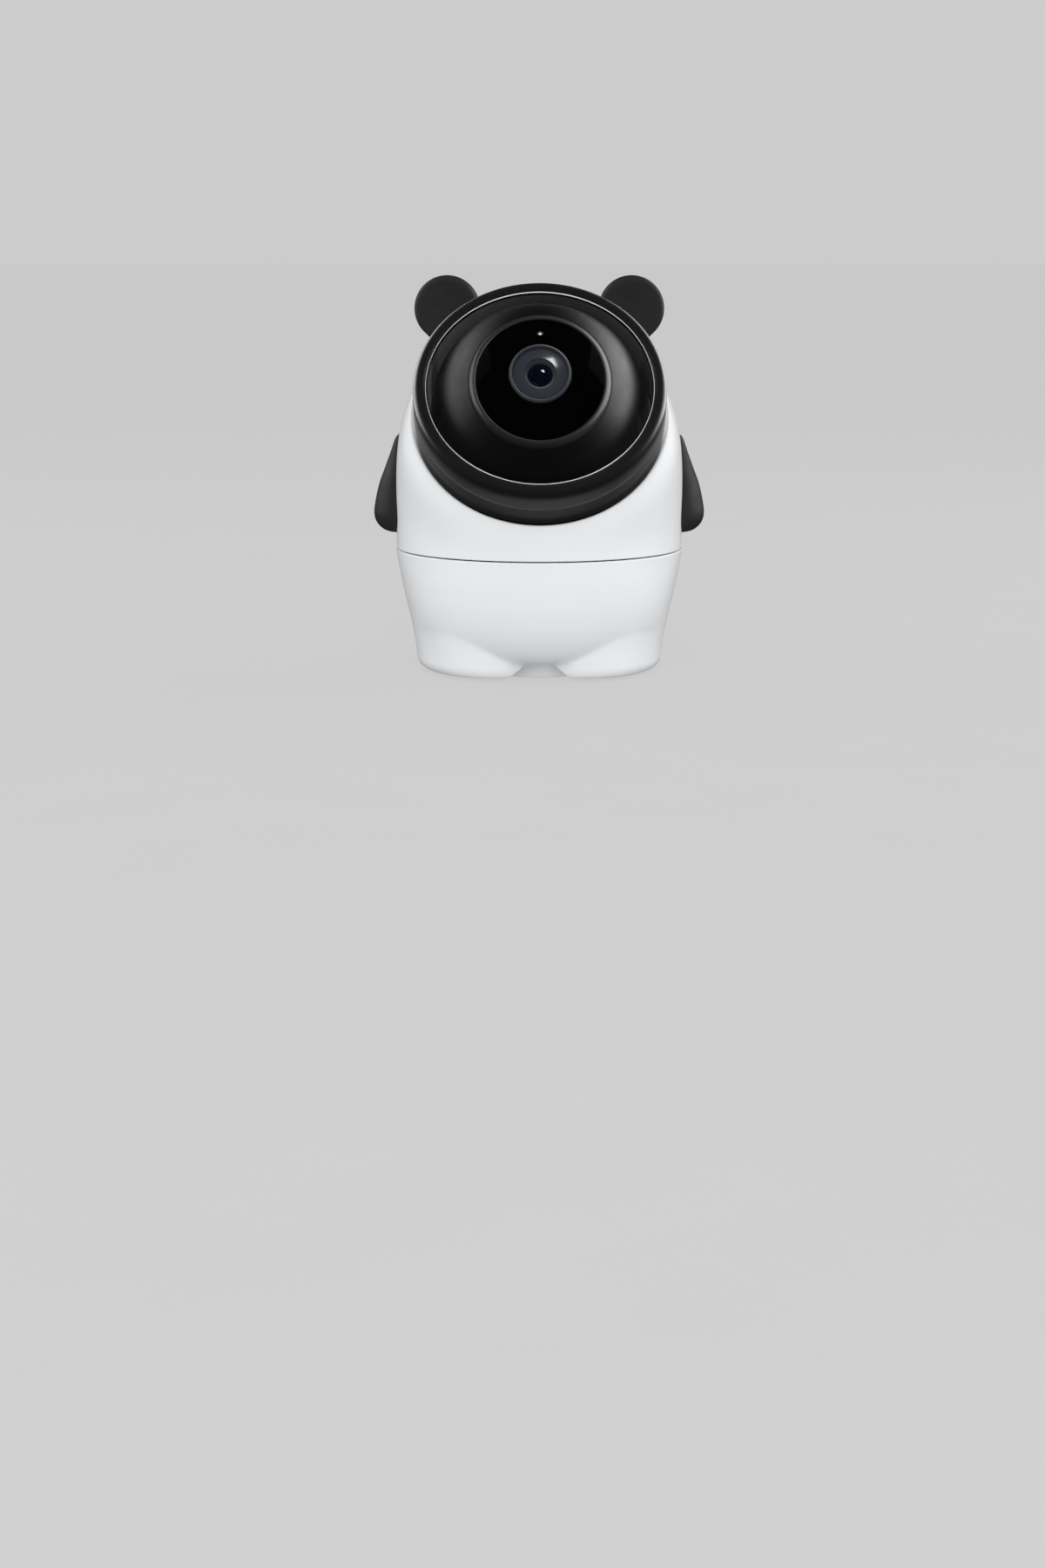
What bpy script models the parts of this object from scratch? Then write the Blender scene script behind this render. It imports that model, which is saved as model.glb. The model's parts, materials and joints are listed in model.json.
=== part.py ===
"""Panda-shaped pan-and-tilt baby monitor camera, as an assembly of separate pieces.

Lengths in this file are millimetres; the building functions turn them into metres.
+Z is up and the camera looks towards -Y. Pieces are placed from the pan axis, which stands
PAN_Y behind the origin, so that the origin is at the middle of the whole object's footprint.
"""

from math import acos, cos, degrees, hypot, pi, radians, sin, sqrt, tan

import bmesh
import bpy
from mathutils import Matrix, Vector

MM = 0.001
GAP = 0.3  # between touching pieces
SEGMENTS = 40  # sides of the large round pieces

# Body
BODY_RADIUS = 42.0
SEAM_Z = 36.0  # the line between the fixed base and the head that pans
SEAM_GAP = 0.6
WALL = 2.0
PAN_Y = 5.17  # places the origin midway between the visor's front edge and the back

# Visor ring: a short tube that looks up and forwards
RING_TILT = 36.6  # elevation of the ring's axis, degrees
RING_Y, RING_Z = -31.76, 84.81  # middle of the ring's front plane
RING_OUT = 36.0
RING_IN = 31.9
RING_DEPTH = 14.5
RIM_RADIUS = 37.0  # edge of the head shell behind the ring

# Camera ball
BALL_SETBACK = 14.0  # ball centre behind the ring's front plane
BALL_RADIUS = 31.3
BALL_WALL = 2.0
BALL_LOOK = 25.6  # elevation of the lens axis at rest, degrees
BALL_REAR_CUT = 12.0  # the ball is open behind this plane
WINDOW_RADIUS = 18.0
WINDOW_HOLE = 9.1
BEZEL_RADIUS = 20.1
BALL_SPLIT = -2.0  # joint between the ball's front and rear halves
BEZEL_SEAT = sqrt(BALL_RADIUS**2 - (BEZEL_RADIUS + GAP) ** 2)  # where the ball stops round the bezel

# Gear trains
PAN_MODULE, PAN_GEAR_TEETH, PAN_PINION_TEETH = 1.0, 48, 12
TILT_MODULE, TILT_GEAR_TEETH, TILT_PINION_TEETH = 0.7, 40, 10
PAN_CENTRES = PAN_MODULE * (PAN_GEAR_TEETH + PAN_PINION_TEETH) / 2
TILT_CENTRES = TILT_MODULE * (TILT_GEAR_TEETH + TILT_PINION_TEETH) / 2

# Base levels
BASE_TOP = SEAM_Z - SEAM_GAP / 2
HEAD_BOTTOM = SEAM_Z + SEAM_GAP / 2
FOOT_EDGE_Z = 0.8
ARCH_Z = 4.6
COVER_Z0, COVER_Z1 = 4.8, 6.6
DECK_Z0, DECK_Z1 = 27.5, 29.5
BOARD_Z0, BOARD_Z1 = 8.0, 9.6
HUB_OUT, HUB_IN = 11.0, 8.0

# Base fittings
INLET_Z = 12.0
BUTTON_ANGLE = 24.0  # from the back, towards +X
LEGS = [(-17.5, 17.5), (17.5, 17.5), (-20.5, -13.5), (20.5, -13.5)]  # under the deck, screwed from below
MOTOR_Y = -PAN_CENTRES + 5.5  # the can's middle; its output shaft is off centre

# Head fittings
TABLE_Z0, TABLE_Z1 = 36.8, 38.8
HEAD_POSTS = [(-26.5, 26.5), (26.5, 26.5)]
YOKE_SCREWS = [(-17, -8), (17, 17)]
YOKE_X0, YOKE_X1 = 19.0, 21.4  # each side plate's inner and outer face
YOKE_BACK = 27.0  # the cross plate, behind the ball's centre
CHEEK_X0, CHEEK_X1 = 12.4, 14.4
BOARD_Y = 22.0
GRILLE_Z = 58.0
EAR_CENTRE = Vector((26.9, 3.0, 105.7))
ARM_X, ARM_Y = 41.0, 3.0

UP = Vector((0, 0, 1))
RING_AXIS = Vector((0, -cos(radians(RING_TILT)), sin(radians(RING_TILT))))
RING_UP = Vector((0, sin(radians(RING_TILT)), cos(radians(RING_TILT))))
RING_CENTRE = Vector((0, RING_Y, RING_Z))
RIM_CENTRE = RING_CENTRE - RING_AXIS * RING_DEPTH
BALL_CENTRE = RING_CENTRE - RING_AXIS * BALL_SETBACK


# ---------------------------------------------------------------- scene, frames and materials

for leftover in list(bpy.data.objects):
    bpy.data.objects.remove(leftover)

parts = bpy.data.collections.new("baby_monitor_camera")
cutters = bpy.data.collections.new("cutters")
for group in (parts, cutters):
    bpy.context.scene.collection.children.link(group)


def make_frame(name, location, rotation=(0, 0, 0)):
    """An empty that pieces are placed from. Its location is measured from the pan axis."""
    frame = bpy.data.objects.new(name, None)
    frame.location = (Vector(location) + Vector((0, PAN_Y, 0))) * MM
    frame.rotation_euler = [radians(angle) for angle in rotation]
    parts.objects.link(frame)
    return frame


BASE = make_frame("base_frame", (0, 0, 0))
HEAD = make_frame("head_frame", (0, 0, 0))
VISOR = make_frame("visor_frame", RING_CENTRE, (90 - RING_TILT, 0, 0))
YOKE = make_frame("yoke_frame", BALL_CENTRE, (90 - RING_TILT, 0, 0))
BALL = make_frame("ball_frame", BALL_CENTRE, (90 - BALL_LOOK, 0, 0))


def make_material(name, colour, roughness, metallic=0.0):
    material = bpy.data.materials.new(name)
    material.use_nodes = True
    shader = material.node_tree.nodes["Principled BSDF"]
    shader.inputs["Base Color"].default_value = (*colour, 1)
    shader.inputs["Roughness"].default_value = roughness
    shader.inputs["Metallic"].default_value = metallic
    return material


WHITE = make_material("white_shell", (0.86, 0.87, 0.88), 0.35)
BLACK = make_material("black_satin", (0.035, 0.035, 0.037), 0.4)
SOFT_BLACK = make_material("ear_and_arm_grey", (0.06, 0.06, 0.058), 0.6)
WINDOW = make_material("window_black", (0.004, 0.004, 0.005), 0.08)
LENS_GREY = make_material("lens_grey", (0.16, 0.17, 0.19), 0.3, 0.6)
GLASS = make_material("lens_glass", (0.03, 0.03, 0.06), 0.03)
INNER = make_material("inner_plastic", (0.3, 0.31, 0.33), 0.5)
POM = make_material("gear_plastic", (0.85, 0.84, 0.78), 0.45)
STEEL = make_material("steel", (0.62, 0.62, 0.64), 0.3, 1.0)
BRASS = make_material("brass", (0.75, 0.58, 0.28), 0.35, 1.0)
BOARD = make_material("circuit_board", (0.03, 0.16, 0.08), 0.5)
CHIP = make_material("chip_black", (0.03, 0.03, 0.03), 0.5)
RUBBER = make_material("rubber", (0.7, 0.71, 0.72), 0.8)
CABLE = make_material("cable_jacket", (0.08, 0.08, 0.09), 0.6)
LED = make_material("led_epoxy", (0.5, 0.48, 0.55), 0.2)


# ---------------------------------------------------------------- building functions


def place(obj, frame, material=None, at=(0, 0, 0), turn=(0, 0, 0), cutter=False):
    """Puts an object in its frame. at is in millimetres and turn in degrees."""
    (cutters if cutter else parts).objects.link(obj)
    obj.parent = frame
    obj.location = Vector(at) * MM
    obj.rotation_euler = [radians(angle) for angle in turn]
    if material:
        obj.data.materials.append(material)
    if cutter:
        obj.hide_render = True
        obj.display_type = "WIRE"
    return obj


def mesh_from(name, build):
    """A new object whose mesh is filled by build(bm), in millimetres."""
    bm = bmesh.new()
    build(bm)
    bmesh.ops.scale(bm, vec=(MM, MM, MM), verts=bm.verts)
    mesh = bpy.data.meshes.new(name)
    bm.to_mesh(mesh)
    bm.free()
    return bpy.data.objects.new(name, mesh)


def smooth(obj, angle=35):
    obj.data.shade_smooth()
    obj.data.set_sharp_from_angle(angle=radians(angle))
    return obj


def box(name, size, frame, material=None, at=(0, 0, 0), turn=(0, 0, 0), cutter=False, round_off=0):
    def build(bm):
        bmesh.ops.create_cube(bm, size=1)
        bmesh.ops.scale(bm, vec=size, verts=bm.verts)

    obj = place(mesh_from(name, build), frame, material, at, turn, cutter)
    if round_off:
        bevel = obj.modifiers.new("round_off", "BEVEL")
        bevel.width = round_off * MM
        bevel.segments = 1
    return obj


def rod(name, radius, z0, z1, frame, material=None, at=(0, 0, 0), turn=(0, 0, 0), cutter=False, sides=24):
    """A cylinder from z0 to z1 along the local Z axis."""

    def build(bm):
        bmesh.ops.create_cone(
            bm, cap_ends=True, segments=sides, radius1=radius, radius2=radius, depth=z1 - z0
        )
        bmesh.ops.translate(bm, vec=(0, 0, (z0 + z1) / 2), verts=bm.verts)

    return smooth(place(mesh_from(name, build), frame, material, at, turn, cutter))


def turned(name, profile, frame, material=None, at=(0, 0, 0), turn=(0, 0, 0), cutter=False, sides=SEGMENTS):
    """A profile of (radius, z) points turned about the local Z axis.

    The profile runs down the outer side. One that doesn't end on the axis is closed into a ring.
    """
    ring = profile[0][0] > 0 or profile[-1][0] > 0

    def build(bm):
        points = [bm.verts.new((radius, 0, z)) for radius, z in profile]
        for start, end in zip(points, points[1:]):
            bm.edges.new((start, end))
        if ring:
            bm.edges.new((points[-1], points[0]))

    obj = place(mesh_from(name, build), frame, material, at, turn, cutter)
    screw = obj.modifiers.new("turn", "SCREW")
    screw.steps = screw.render_steps = sides
    screw.use_merge_vertices = True
    screw.merge_threshold = 0.00001
    screw.use_smooth_shade = True
    return obj


def plate(name, outlines, z0, z1, frame, material=None, at=(0, 0, 0), turn=(0, 0, 0), cutter=False):
    """A flat outline, with any holes as further outlines, from z0 to z1. It becomes a mesh."""
    curve = bpy.data.curves.new(name + "_outline", "CURVE")
    curve.dimensions = "2D"
    curve.fill_mode = "BOTH"
    curve.extrude = (z1 - z0) / 2 * MM
    for outline in outlines:
        spline = curve.splines.new("POLY")
        spline.points.add(len(outline) - 1)
        for point, (x, y) in zip(spline.points, outline):
            point.co = (x * MM, y * MM, 0, 1)
        spline.use_cyclic_u = True
    obj = solid_from_curve(name, curve)
    obj.data.transform(Matrix.Translation((0, 0, (z0 + z1) / 2 * MM)))
    return place(obj, frame, material, at, turn, cutter)


def solid_from_curve(name, curve):
    """The mesh of a curve, with its caps welded on."""
    drawn = bpy.data.objects.new(name + "_drawn", curve)
    bpy.context.scene.collection.objects.link(drawn)
    bpy.context.view_layer.update()
    evaluated = drawn.evaluated_get(bpy.context.evaluated_depsgraph_get())
    mesh = bpy.data.meshes.new_from_object(evaluated)
    bpy.data.objects.remove(drawn)
    bm = bmesh.new()
    bm.from_mesh(mesh)
    bmesh.ops.remove_doubles(bm, verts=bm.verts, dist=0.000001)
    bmesh.ops.recalc_face_normals(bm, faces=bm.faces)
    bm.to_mesh(mesh)
    bm.free()
    return bpy.data.objects.new(name, mesh)


def cable(name, points, radius, frame, material):
    """A lead along a smooth curve through the points."""
    curve = bpy.data.curves.new(name, "CURVE")
    curve.dimensions = "3D"
    curve.bevel_depth = radius * MM
    curve.bevel_resolution = 1
    curve.use_fill_caps = True
    route = smooth_route(points, 2.5)
    spline = curve.splines.new("POLY")
    spline.points.add(len(route) - 1)
    for point, co in zip(spline.points, route):
        point.co = (*(Vector(co) * MM), 1)
    return place(bpy.data.objects.new(name, curve), frame, material)


def smooth_route(points, step):
    """Points about step apart on a Catmull-Rom curve through the given ones."""
    points = [Vector(p) for p in points]
    ends = [points[0] * 2 - points[1], *points, points[-1] * 2 - points[-2]]
    route = []
    for a, b, c, d in zip(ends, ends[1:], ends[2:], ends[3:]):
        count = max(1, round((c - b).length / step))
        for i in range(count):
            t = i / count
            square, cube = 2 * a - 5 * b + 4 * c - d, 3 * b - a - 3 * c + d
            route.append((2 * b + (c - a) * t + square * t**2 + cube * t**3) / 2)
    return [*route, points[-1]]


def combine(obj, other, operation="DIFFERENCE"):
    modifier = obj.modifiers.new(other.name, "BOOLEAN")
    modifier.operation = operation
    modifier.object = other
    return obj


def shell_surface(name, rows, frame, material, wall):
    """An open surface through closed rows of points, thickened inwards."""
    obj = smooth(place(mesh_from(name, lambda bm: grid(bm, rows)), frame, material), 60)
    thicken = obj.modifiers.new("wall", "SOLIDIFY")
    thicken.thickness = wall * MM
    thicken.offset = -1
    thicken.use_even_offset = True
    return obj


def grid(bm, rows, caps=False):
    """Faces between closed rows of points, the first row lowest."""
    rings = [[bm.verts.new(point) for point in row] for row in rows]
    for lower, upper in zip(rings, rings[1:]):
        for i in range(len(lower)):
            j = (i + 1) % len(lower)
            bm.faces.new((lower[i], lower[j], upper[j], upper[i]))
    if caps:
        bm.faces.new(reversed(rings[0]))
        bm.faces.new(rings[-1])


def circle(radius, count, centre=(0, 0), start=0.0):
    return [
        (
            centre[0] + radius * cos(start + 2 * pi * i / count),
            centre[1] + radius * sin(start + 2 * pi * i / count),
        )
        for i in range(count)
    ]


def rounded_box(width, height, radius, centre=(0, 0), steps=3):
    outline = []
    for quarter in range(4):
        sx, sy = ((1, 1), (-1, 1), (-1, -1), (1, -1))[quarter]
        for i in range(steps + 1):
            angle = pi / 2 * (quarter + i / steps)
            outline.append(
                (
                    centre[0] + sx * (width / 2 - radius) + radius * cos(angle),
                    centre[1] + sy * (height / 2 - radius) + radius * sin(angle),
                )
            )
    return outline


def ease(value, low, high):
    """0 below low, 1 above high, smooth between."""
    t = min(1, max(0, (value - low) / (high - low)))
    return t * t * (3 - 2 * t)


def along(table, value):
    """The value at a position in a table of (position, value) points, straight between them."""
    if value <= table[0][0]:
        return table[0][1]
    for (a, va), (b, vb) in zip(table, table[1:]):
        if value <= b:
            return va + (vb - va) * (value - a) / (b - a)
    return table[-1][1]


def gear_outline(teeth, module, start=0.0, fine=False):
    """Involute teeth at 20 degrees with a little backlash. The first tooth is centred on the angle start."""
    pitch = module * teeth / 2
    tip, root = pitch + 0.95 * module, pitch - 1.2 * module
    base = pitch * cos(radians(20))
    half_at_pitch = (pi * module / 2 - 0.16 * module) / 2 / pitch

    def half_angle(radius):
        pressure = acos(min(1, base / max(radius, base)))
        return half_at_pitch + (tan(radians(20)) - radians(20)) - (tan(pressure) - pressure)

    radii = [root, pitch, tip] if fine else [root, tip]
    outline = []
    for tooth in range(teeth):
        middle = start + 2 * pi * tooth / teeth
        flank = [(radius, -half_angle(radius)) for radius in radii]
        for radius, offset in flank + [(radius, -offset) for radius, offset in reversed(flank)]:
            outline.append((radius * cos(middle + offset), radius * sin(middle + offset)))
    return outline


# ---------------------------------------------------------------- outer shapes


TAPER = (
    (4.5, 36.0), (8, 36.4), (12.5, 37.2), (18, 38.4), (24, 39.8), (30, 41.0), (BASE_TOP, BODY_RADIUS)
)
BELLY = (
    (ARCH_Z, 27.0), (6, 30.4), (8, 33.3), (10, 35.2), (13, 37.3), (17, 39.2), (23, 40.9), (30, 41.8),
    (BASE_TOP, BODY_RADIUS),
)
FOOT_REACH = (
    (0, 0.5), (8, 0.62), (13, 0.77), (20, 0.885), (28, 0.955), (36, 0.992), (48, 1.008), (60, 1.0)
)


def taper_radius(z):
    """Half-width of the base at a height, apart from the rounded bottom edge."""
    return along(TAPER, z)


def belly_radius(z):
    """The round belly draws in towards its underside."""
    return along(BELLY, z)


def foot_share(angle):
    """How much of the full taper the feet reach, by degrees away from the front."""
    return along(FOOT_REACH, angle)


def base_radius(angle, z):
    """Outer radius of the base: the belly and the feet, blended where they meet."""
    edge = 4.5
    foot = taper_radius(max(z, edge)) * foot_share(angle)
    if z < edge:
        drop = (edge - z) / (edge - FOOT_EDGE_Z)
        foot -= 3.2 * (1 - sqrt(max(0, 1 - 0.96 * drop**2)))
    belly = belly_radius(max(z, ARCH_Z))
    belly += (foot - belly) * ease(angle, 50, 85)
    blend = 0.5
    return (foot + belly + hypot(foot - belly, blend)) / 2


def base_edge_z(angle):
    """Height of the base shell's bottom edge, which arches between the feet."""
    return FOOT_EDGE_Z + (ARCH_Z - FOOT_EDGE_Z) * (1 - ease(angle, 7, 19))


def from_front(theta):
    """Degrees between a direction in the XY plane and the front."""
    return degrees(acos(max(-1, min(1, -sin(theta)))))


def base_rows():
    rows = []
    steps = (0, 0.04, 0.09, 0.17, 0.28, 0.42, 0.6, 0.8, 1)
    for step in steps:
        row = []
        for i in range(SEGMENTS):
            theta = 2 * pi * i / SEGMENTS
            angle = from_front(theta)
            low = base_edge_z(angle)
            z = low + (BASE_TOP - low) * step
            radius = base_radius(angle, z)
            row.append((radius * cos(theta), radius * sin(theta), z))
        rows.append(row)
    return rows


def head_point(theta, t, proud=0.0):
    """A point on the head shell: t runs from the round seam to the tilted rim behind the visor."""
    s, c = sin(theta), cos(theta)
    seam = Vector(((BODY_RADIUS + proud) * c, (BODY_RADIUS + proud) * s, HEAD_BOTTOM))
    rim = RIM_CENTRE + (RIM_RADIUS + proud) * (Vector((c, 0, 0)) + RING_UP * s)
    rise = UP * (25 + 20.8 * s - 0.8 * s * s)
    arrive = Vector((-5.5 * c, -6 * (1 + s) ** 2, 6.2 - 0.65 * s - 3.55 * s * s))
    a, b, d, e = seam, seam + rise, rim - arrive, rim
    u = 1 - t
    return a * u**3 + 3 * b * u * u * t + 3 * d * u * t * t + e * t**3


def head_rows(proud=0.0, steps=8):
    return [
        [head_point(2 * pi * i / SEGMENTS, step / steps, proud) for i in range(SEGMENTS)]
        for step in range(steps + 1)
    ]


# ---------------------------------------------------------------- base, which stands still


def build_base_shell():
    shell = shell_surface("base_shell", base_rows(), BASE, WHITE, WALL)
    inlet_hole = plate(
        "inlet_hole", [rounded_box(10.6, 4.8, 2.2)], -45, -32, BASE,
        at=(0, 0, INLET_Z), turn=(90, 0, 0), cutter=True,
    )
    combine(shell, inlet_hole)
    button_hole = rod(
        "button_hole", 3.0, 30, 45, BASE, at=(0, 0, INLET_Z), turn=(-90, 0, -BUTTON_ANGLE), cutter=True
    )
    combine(shell, button_hole)


def cover_outline():
    """The bottom cover follows the inside of the shell's bottom edge."""
    outline = []
    for i in range(SEGMENTS):
        theta = 2 * pi * i / SEGMENTS
        angle = from_front(theta)
        radius = base_radius(angle, COVER_Z0 + 0.1) - WALL - 1.0
        outline.append((radius * cos(theta), radius * sin(theta)))
    return outline


def build_bottom_cover():
    """The floor, with a boss for the tripod insert and a countersunk hole under each deck leg."""
    cover = plate("bottom_cover", [cover_outline()], COVER_Z0, COVER_Z1, BASE, WHITE)
    boss = turned(
        "tripod_boss", [(0, 10.8), (7.6, 10.8), (7.6, 0.9), (7.3, 0.6), (0, 0.6)], BASE, cutter=True,
        sides=20,
    )
    combine(cover, boss, "UNION")
    combine(cover, rod("insert_seat", 4.8, 0, 7.4, BASE, cutter=True, sides=20))
    for i, (x, y) in enumerate(LEGS):
        combine(cover, rod(f"cover_bore_{i}", 1.3, 4, 7, BASE, at=(x, y, 0), cutter=True, sides=8))


def build_tripod_insert():
    """Brass insert for a 1/4 inch camera screw."""
    turned(
        "tripod_insert",
        [
            (4.5, 7.1), (4.5, 5.2), (4.1, 4.9), (4.1, 4.1), (4.5, 3.8), (4.5, 0.7), (3.4, 0.7), (3.1, 1.1),
            (3.1, 7.1),
        ],
        BASE,
        BRASS,
        sides=16,
    )


def screw_profile(head_radius, head_z0, head_z1, shank_radius, shank_z):
    """A pan-head screw that points up, from its head at the bottom."""
    return [
        (0, shank_z),
        (shank_radius, shank_z - 0.8),
        (shank_radius, head_z1),
        (head_radius, head_z1),
        (head_radius * 0.8, head_z0),
        (0, head_z0),
    ]


def fasteners(name, profile, spots, frame, sides=10):
    """One screw at each spot, as name_1, name_2 and so on."""
    for number, (x, y) in enumerate(spots, 1):
        turned(f"{name}_{number}", profile, frame, STEEL, at=(x, y, 0), sides=sides)


def build_base_fasteners():
    fasteners("bottom_screw", screw_profile(1.9, 3.3, 4.5, 0.85, 14.0), LEGS, BASE)
    pad = [(20.5, 4.5), (20.5, 0.5), (20.0, 0.0), (9.0, 0.0), (8.5, 0.5), (8.5, 4.5)]
    turned("foot_pad", pad, BASE, RUBBER, sides=36)


def build_pan_deck():
    """The plate that the head turns on, with four legs down to the bottom cover."""
    deck = turned(
        "pan_deck",
        [(14.2, 31.0), (14.2, DECK_Z1), (38.1, DECK_Z1), (38.1, DECK_Z0), (11.4, DECK_Z0), (11.4, 31.0)],
        BASE,
        INNER,
        sides=36,
    )
    for i, (x, y) in enumerate(LEGS):
        combine(
            deck, rod(f"deck_leg_{i}", 2.8, 6.9, 28.5, BASE, at=(x, y, 0), cutter=True, sides=10), "UNION"
        )
    for i, (x, y) in enumerate(LEGS):
        combine(deck, rod(f"leg_bore_{i}", 1.15, 6, 16, BASE, at=(x, y, 0), cutter=True, sides=8))
    combine(
        deck, rod("pinion_clearance", 5.2, 26, 32, BASE, at=(0, -PAN_CENTRES, 0), cutter=True, sides=16)
    )
    for sx in (-1, 1):
        combine(
            deck,
            rod(
                f"motor_tab_bore_{sx}", 1.3, 26, 32, BASE, at=(sx * 13.2, MOTOR_Y, 0), cutter=True, sides=8
            ),
        )


def build_pan_motor():
    """A flat geared stepper motor with two tabs, under the deck."""
    top = DECK_Z0 - GAP
    can = turned(
        "pan_motor",
        [(0, top), (10.2, top), (10.2, 14.1), (9.6, 13.5), (0, 13.5)],
        BASE,
        STEEL,
        at=(0, MOTOR_Y, 0),
        sides=28,
    )
    tabs = plate(
        "motor_tabs", [rounded_box(32, 5.6, 2.7)], top - 1.2, top - 0.02, BASE, at=(0, MOTOR_Y, 0),
        cutter=True,
    )
    combine(can, tabs, "UNION")
    for sx in (-1, 1):
        combine(
            can,
            rod(
                f"tab_bore_{sx}", 1.2, top - 3, top + 1, BASE, at=(sx * 13.2, MOTOR_Y, 0), cutter=True,
                sides=8,
            ),
        )
    combine(
        can, rod("shaft_well", 1.5, top - 4, top + 1, BASE, at=(0, -PAN_CENTRES, 0), cutter=True, sides=12)
    )
    screw = screw_profile(1.7, top - 3.0, top - 1.2 - GAP, 0.8, DECK_Z1 + 0.4)
    fasteners("pan_motor_screw", screw, [(-13.2, MOTOR_Y), (13.2, MOTOR_Y)], BASE)


def build_pan_bearing():
    turned("pan_bearing", [(14.0, 32.1), (14.0, 31.3), (11.4, 31.3), (11.4, 32.1)], BASE, POM, sides=24)


def build_base_board():
    outline = [
        (-12, 10.5), (12, 10.5), (13.6, 12), (13.6, 26.5), (11.5, 29), (-11.5, 29), (-13.6, 26.5),
        (-13.6, 12),
    ]
    board = plate("base_board", [outline], BOARD_Z0, BOARD_Z1, BASE, BOARD)
    combine(board, box("regulator", (6, 6, 1.6), BASE, at=(-6, 18, BOARD_Z1 + 0.7), cutter=True), "UNION")
    combine(
        board, box("lead_header", (8, 4, 3.4), BASE, at=(4.5, 13.5, BOARD_Z1 + 1.6), cutter=True), "UNION"
    )


def build_power_inlet():
    """USB-C socket: a steel sleeve with a tongue inside, mouth at the back."""
    mouth, back = 35.4, 27.6
    outer, inner = rounded_box(9.0, 3.4, 1.65), rounded_box(8.4, 2.8, 1.35)
    sleeve = plate(
        "power_inlet", [outer], -mouth, -back + 1.5, BASE, STEEL, at=(0, 0, INLET_Z), turn=(90, 0, 0)
    )
    cavity = plate(
        "inlet_cavity", [inner], -mouth - 1, -back, BASE, at=(0, 0, INLET_Z), turn=(90, 0, 0), cutter=True
    )
    combine(sleeve, cavity)
    tongue = box("inlet_tongue", (6.6, 6.4, 0.7), BASE, at=(0, back + 2.8, INLET_Z), cutter=True)
    combine(sleeve, tongue, "UNION")


def build_pair_button():
    """A round button through the back of the base, and the switch that it presses."""
    turned(
        "pair_button",
        [
            (0, 38.0), (1.9, 37.9), (2.5, 37.5), (2.6, 37.1), (2.6, 34.2), (3.7, 34.2), (3.7, 33.1),
            (1.2, 33.1), (1.2, 30.9), (0, 30.9),
        ],
        BASE,
        WHITE,
        at=(0, 0, INLET_Z),
        turn=(-90, 0, -BUTTON_ANGLE),
        sides=16,
    )
    box(
        "pair_switch", (4.6, 3.6, 3.4), BASE, CHIP, turn=(0, 0, -BUTTON_ANGLE),
        at=(
            28.2 * sin(radians(BUTTON_ANGLE)), 28.2 * cos(radians(BUTTON_ANGLE)),
            BOARD_Z1 + GAP + 1.7 + 0.3,
        ),
        round_off=0.15,
    )


def build_pan_pinion():
    """The motor's pinion, with teeth that mesh with the pan gear."""
    outline = gear_outline(PAN_PINION_TEETH, PAN_MODULE, pi / 2 + pi / PAN_PINION_TEETH, fine=True)
    pinion = plate("pan_pinion", [outline], 32.2, 35.3, BASE, POM, at=(0, -PAN_CENTRES, 0))
    combine(
        pinion,
        rod("pinion_shaft", 1.2, DECK_Z0 - 3.4, 33, BASE, at=(0, -PAN_CENTRES, 0), cutter=True, sides=16),
        "UNION",
    )


# ---------------------------------------------------------------- head, which pans


def build_head_shell():
    shell = shell_surface("head_shell", head_rows(), HEAD, WHITE, WALL)
    for i, (x, y) in enumerate(HEAD_POSTS):
        combine(
            shell, rod(f"head_post_{i}", 2.8, 39.2, 47, HEAD, at=(x, y, 0), cutter=True, sides=10), "UNION"
        )
        combine(shell, rod(f"head_post_bore_{i}", 1.1, 38, 45, HEAD, at=(x, y, 0), cutter=True, sides=8))
    for i in range(-2, 3):
        length = (22, 19, 12)[abs(i)]
        slot = plate(
            f"grille_slot_{i + 2}", [rounded_box(length, 1.8, 0.89, steps=2)], -46, -34, HEAD,
            at=(0, 0, GRILLE_Z + 4.2 * i), turn=(90, 0, 0), cutter=True,
        )
        combine(shell, slot)
    for side in (-1, 1):
        arm_hole = rod(
            f"arm_peg_hole_{side}", 2.0, 34, 44, HEAD, at=(0, ARM_Y, 52), turn=(0, 90 * side, 0),
            cutter=True, sides=10,
        )
        combine(shell, arm_hole)
        peg = ear_peg(f"ear_peg_hole_{side}", side, 2.0)
        combine(shell, peg)


def ear_peg(name, side, radius):
    """A peg from the ear towards the middle of the head."""
    direction = Vector((side * -0.55, 0.1, -0.83)).normalized()
    start = Vector((side * EAR_CENTRE.x, EAR_CENTRE.y, EAR_CENTRE.z)) + direction * 2
    return peg_along(name, start, direction, 14, radius)


def peg_along(name, start, direction, length, radius):
    obj = rod(name, radius, 0, length, HEAD, cutter=True, sides=10)
    obj.location = start * MM
    obj.rotation_euler = direction.to_track_quat("Z", "Y").to_euler()
    return obj


def head_envelope():
    """The closed outer shape of head and visor, a gap proud, that cuts the pieces sitting on it."""
    rows = head_rows(GAP)
    rows.append([point + RING_AXIS * 12 for point in rows[-1]])
    return place(mesh_from("head_envelope", lambda bm: grid(bm, rows, caps=True)), HEAD, cutter=True)


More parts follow.
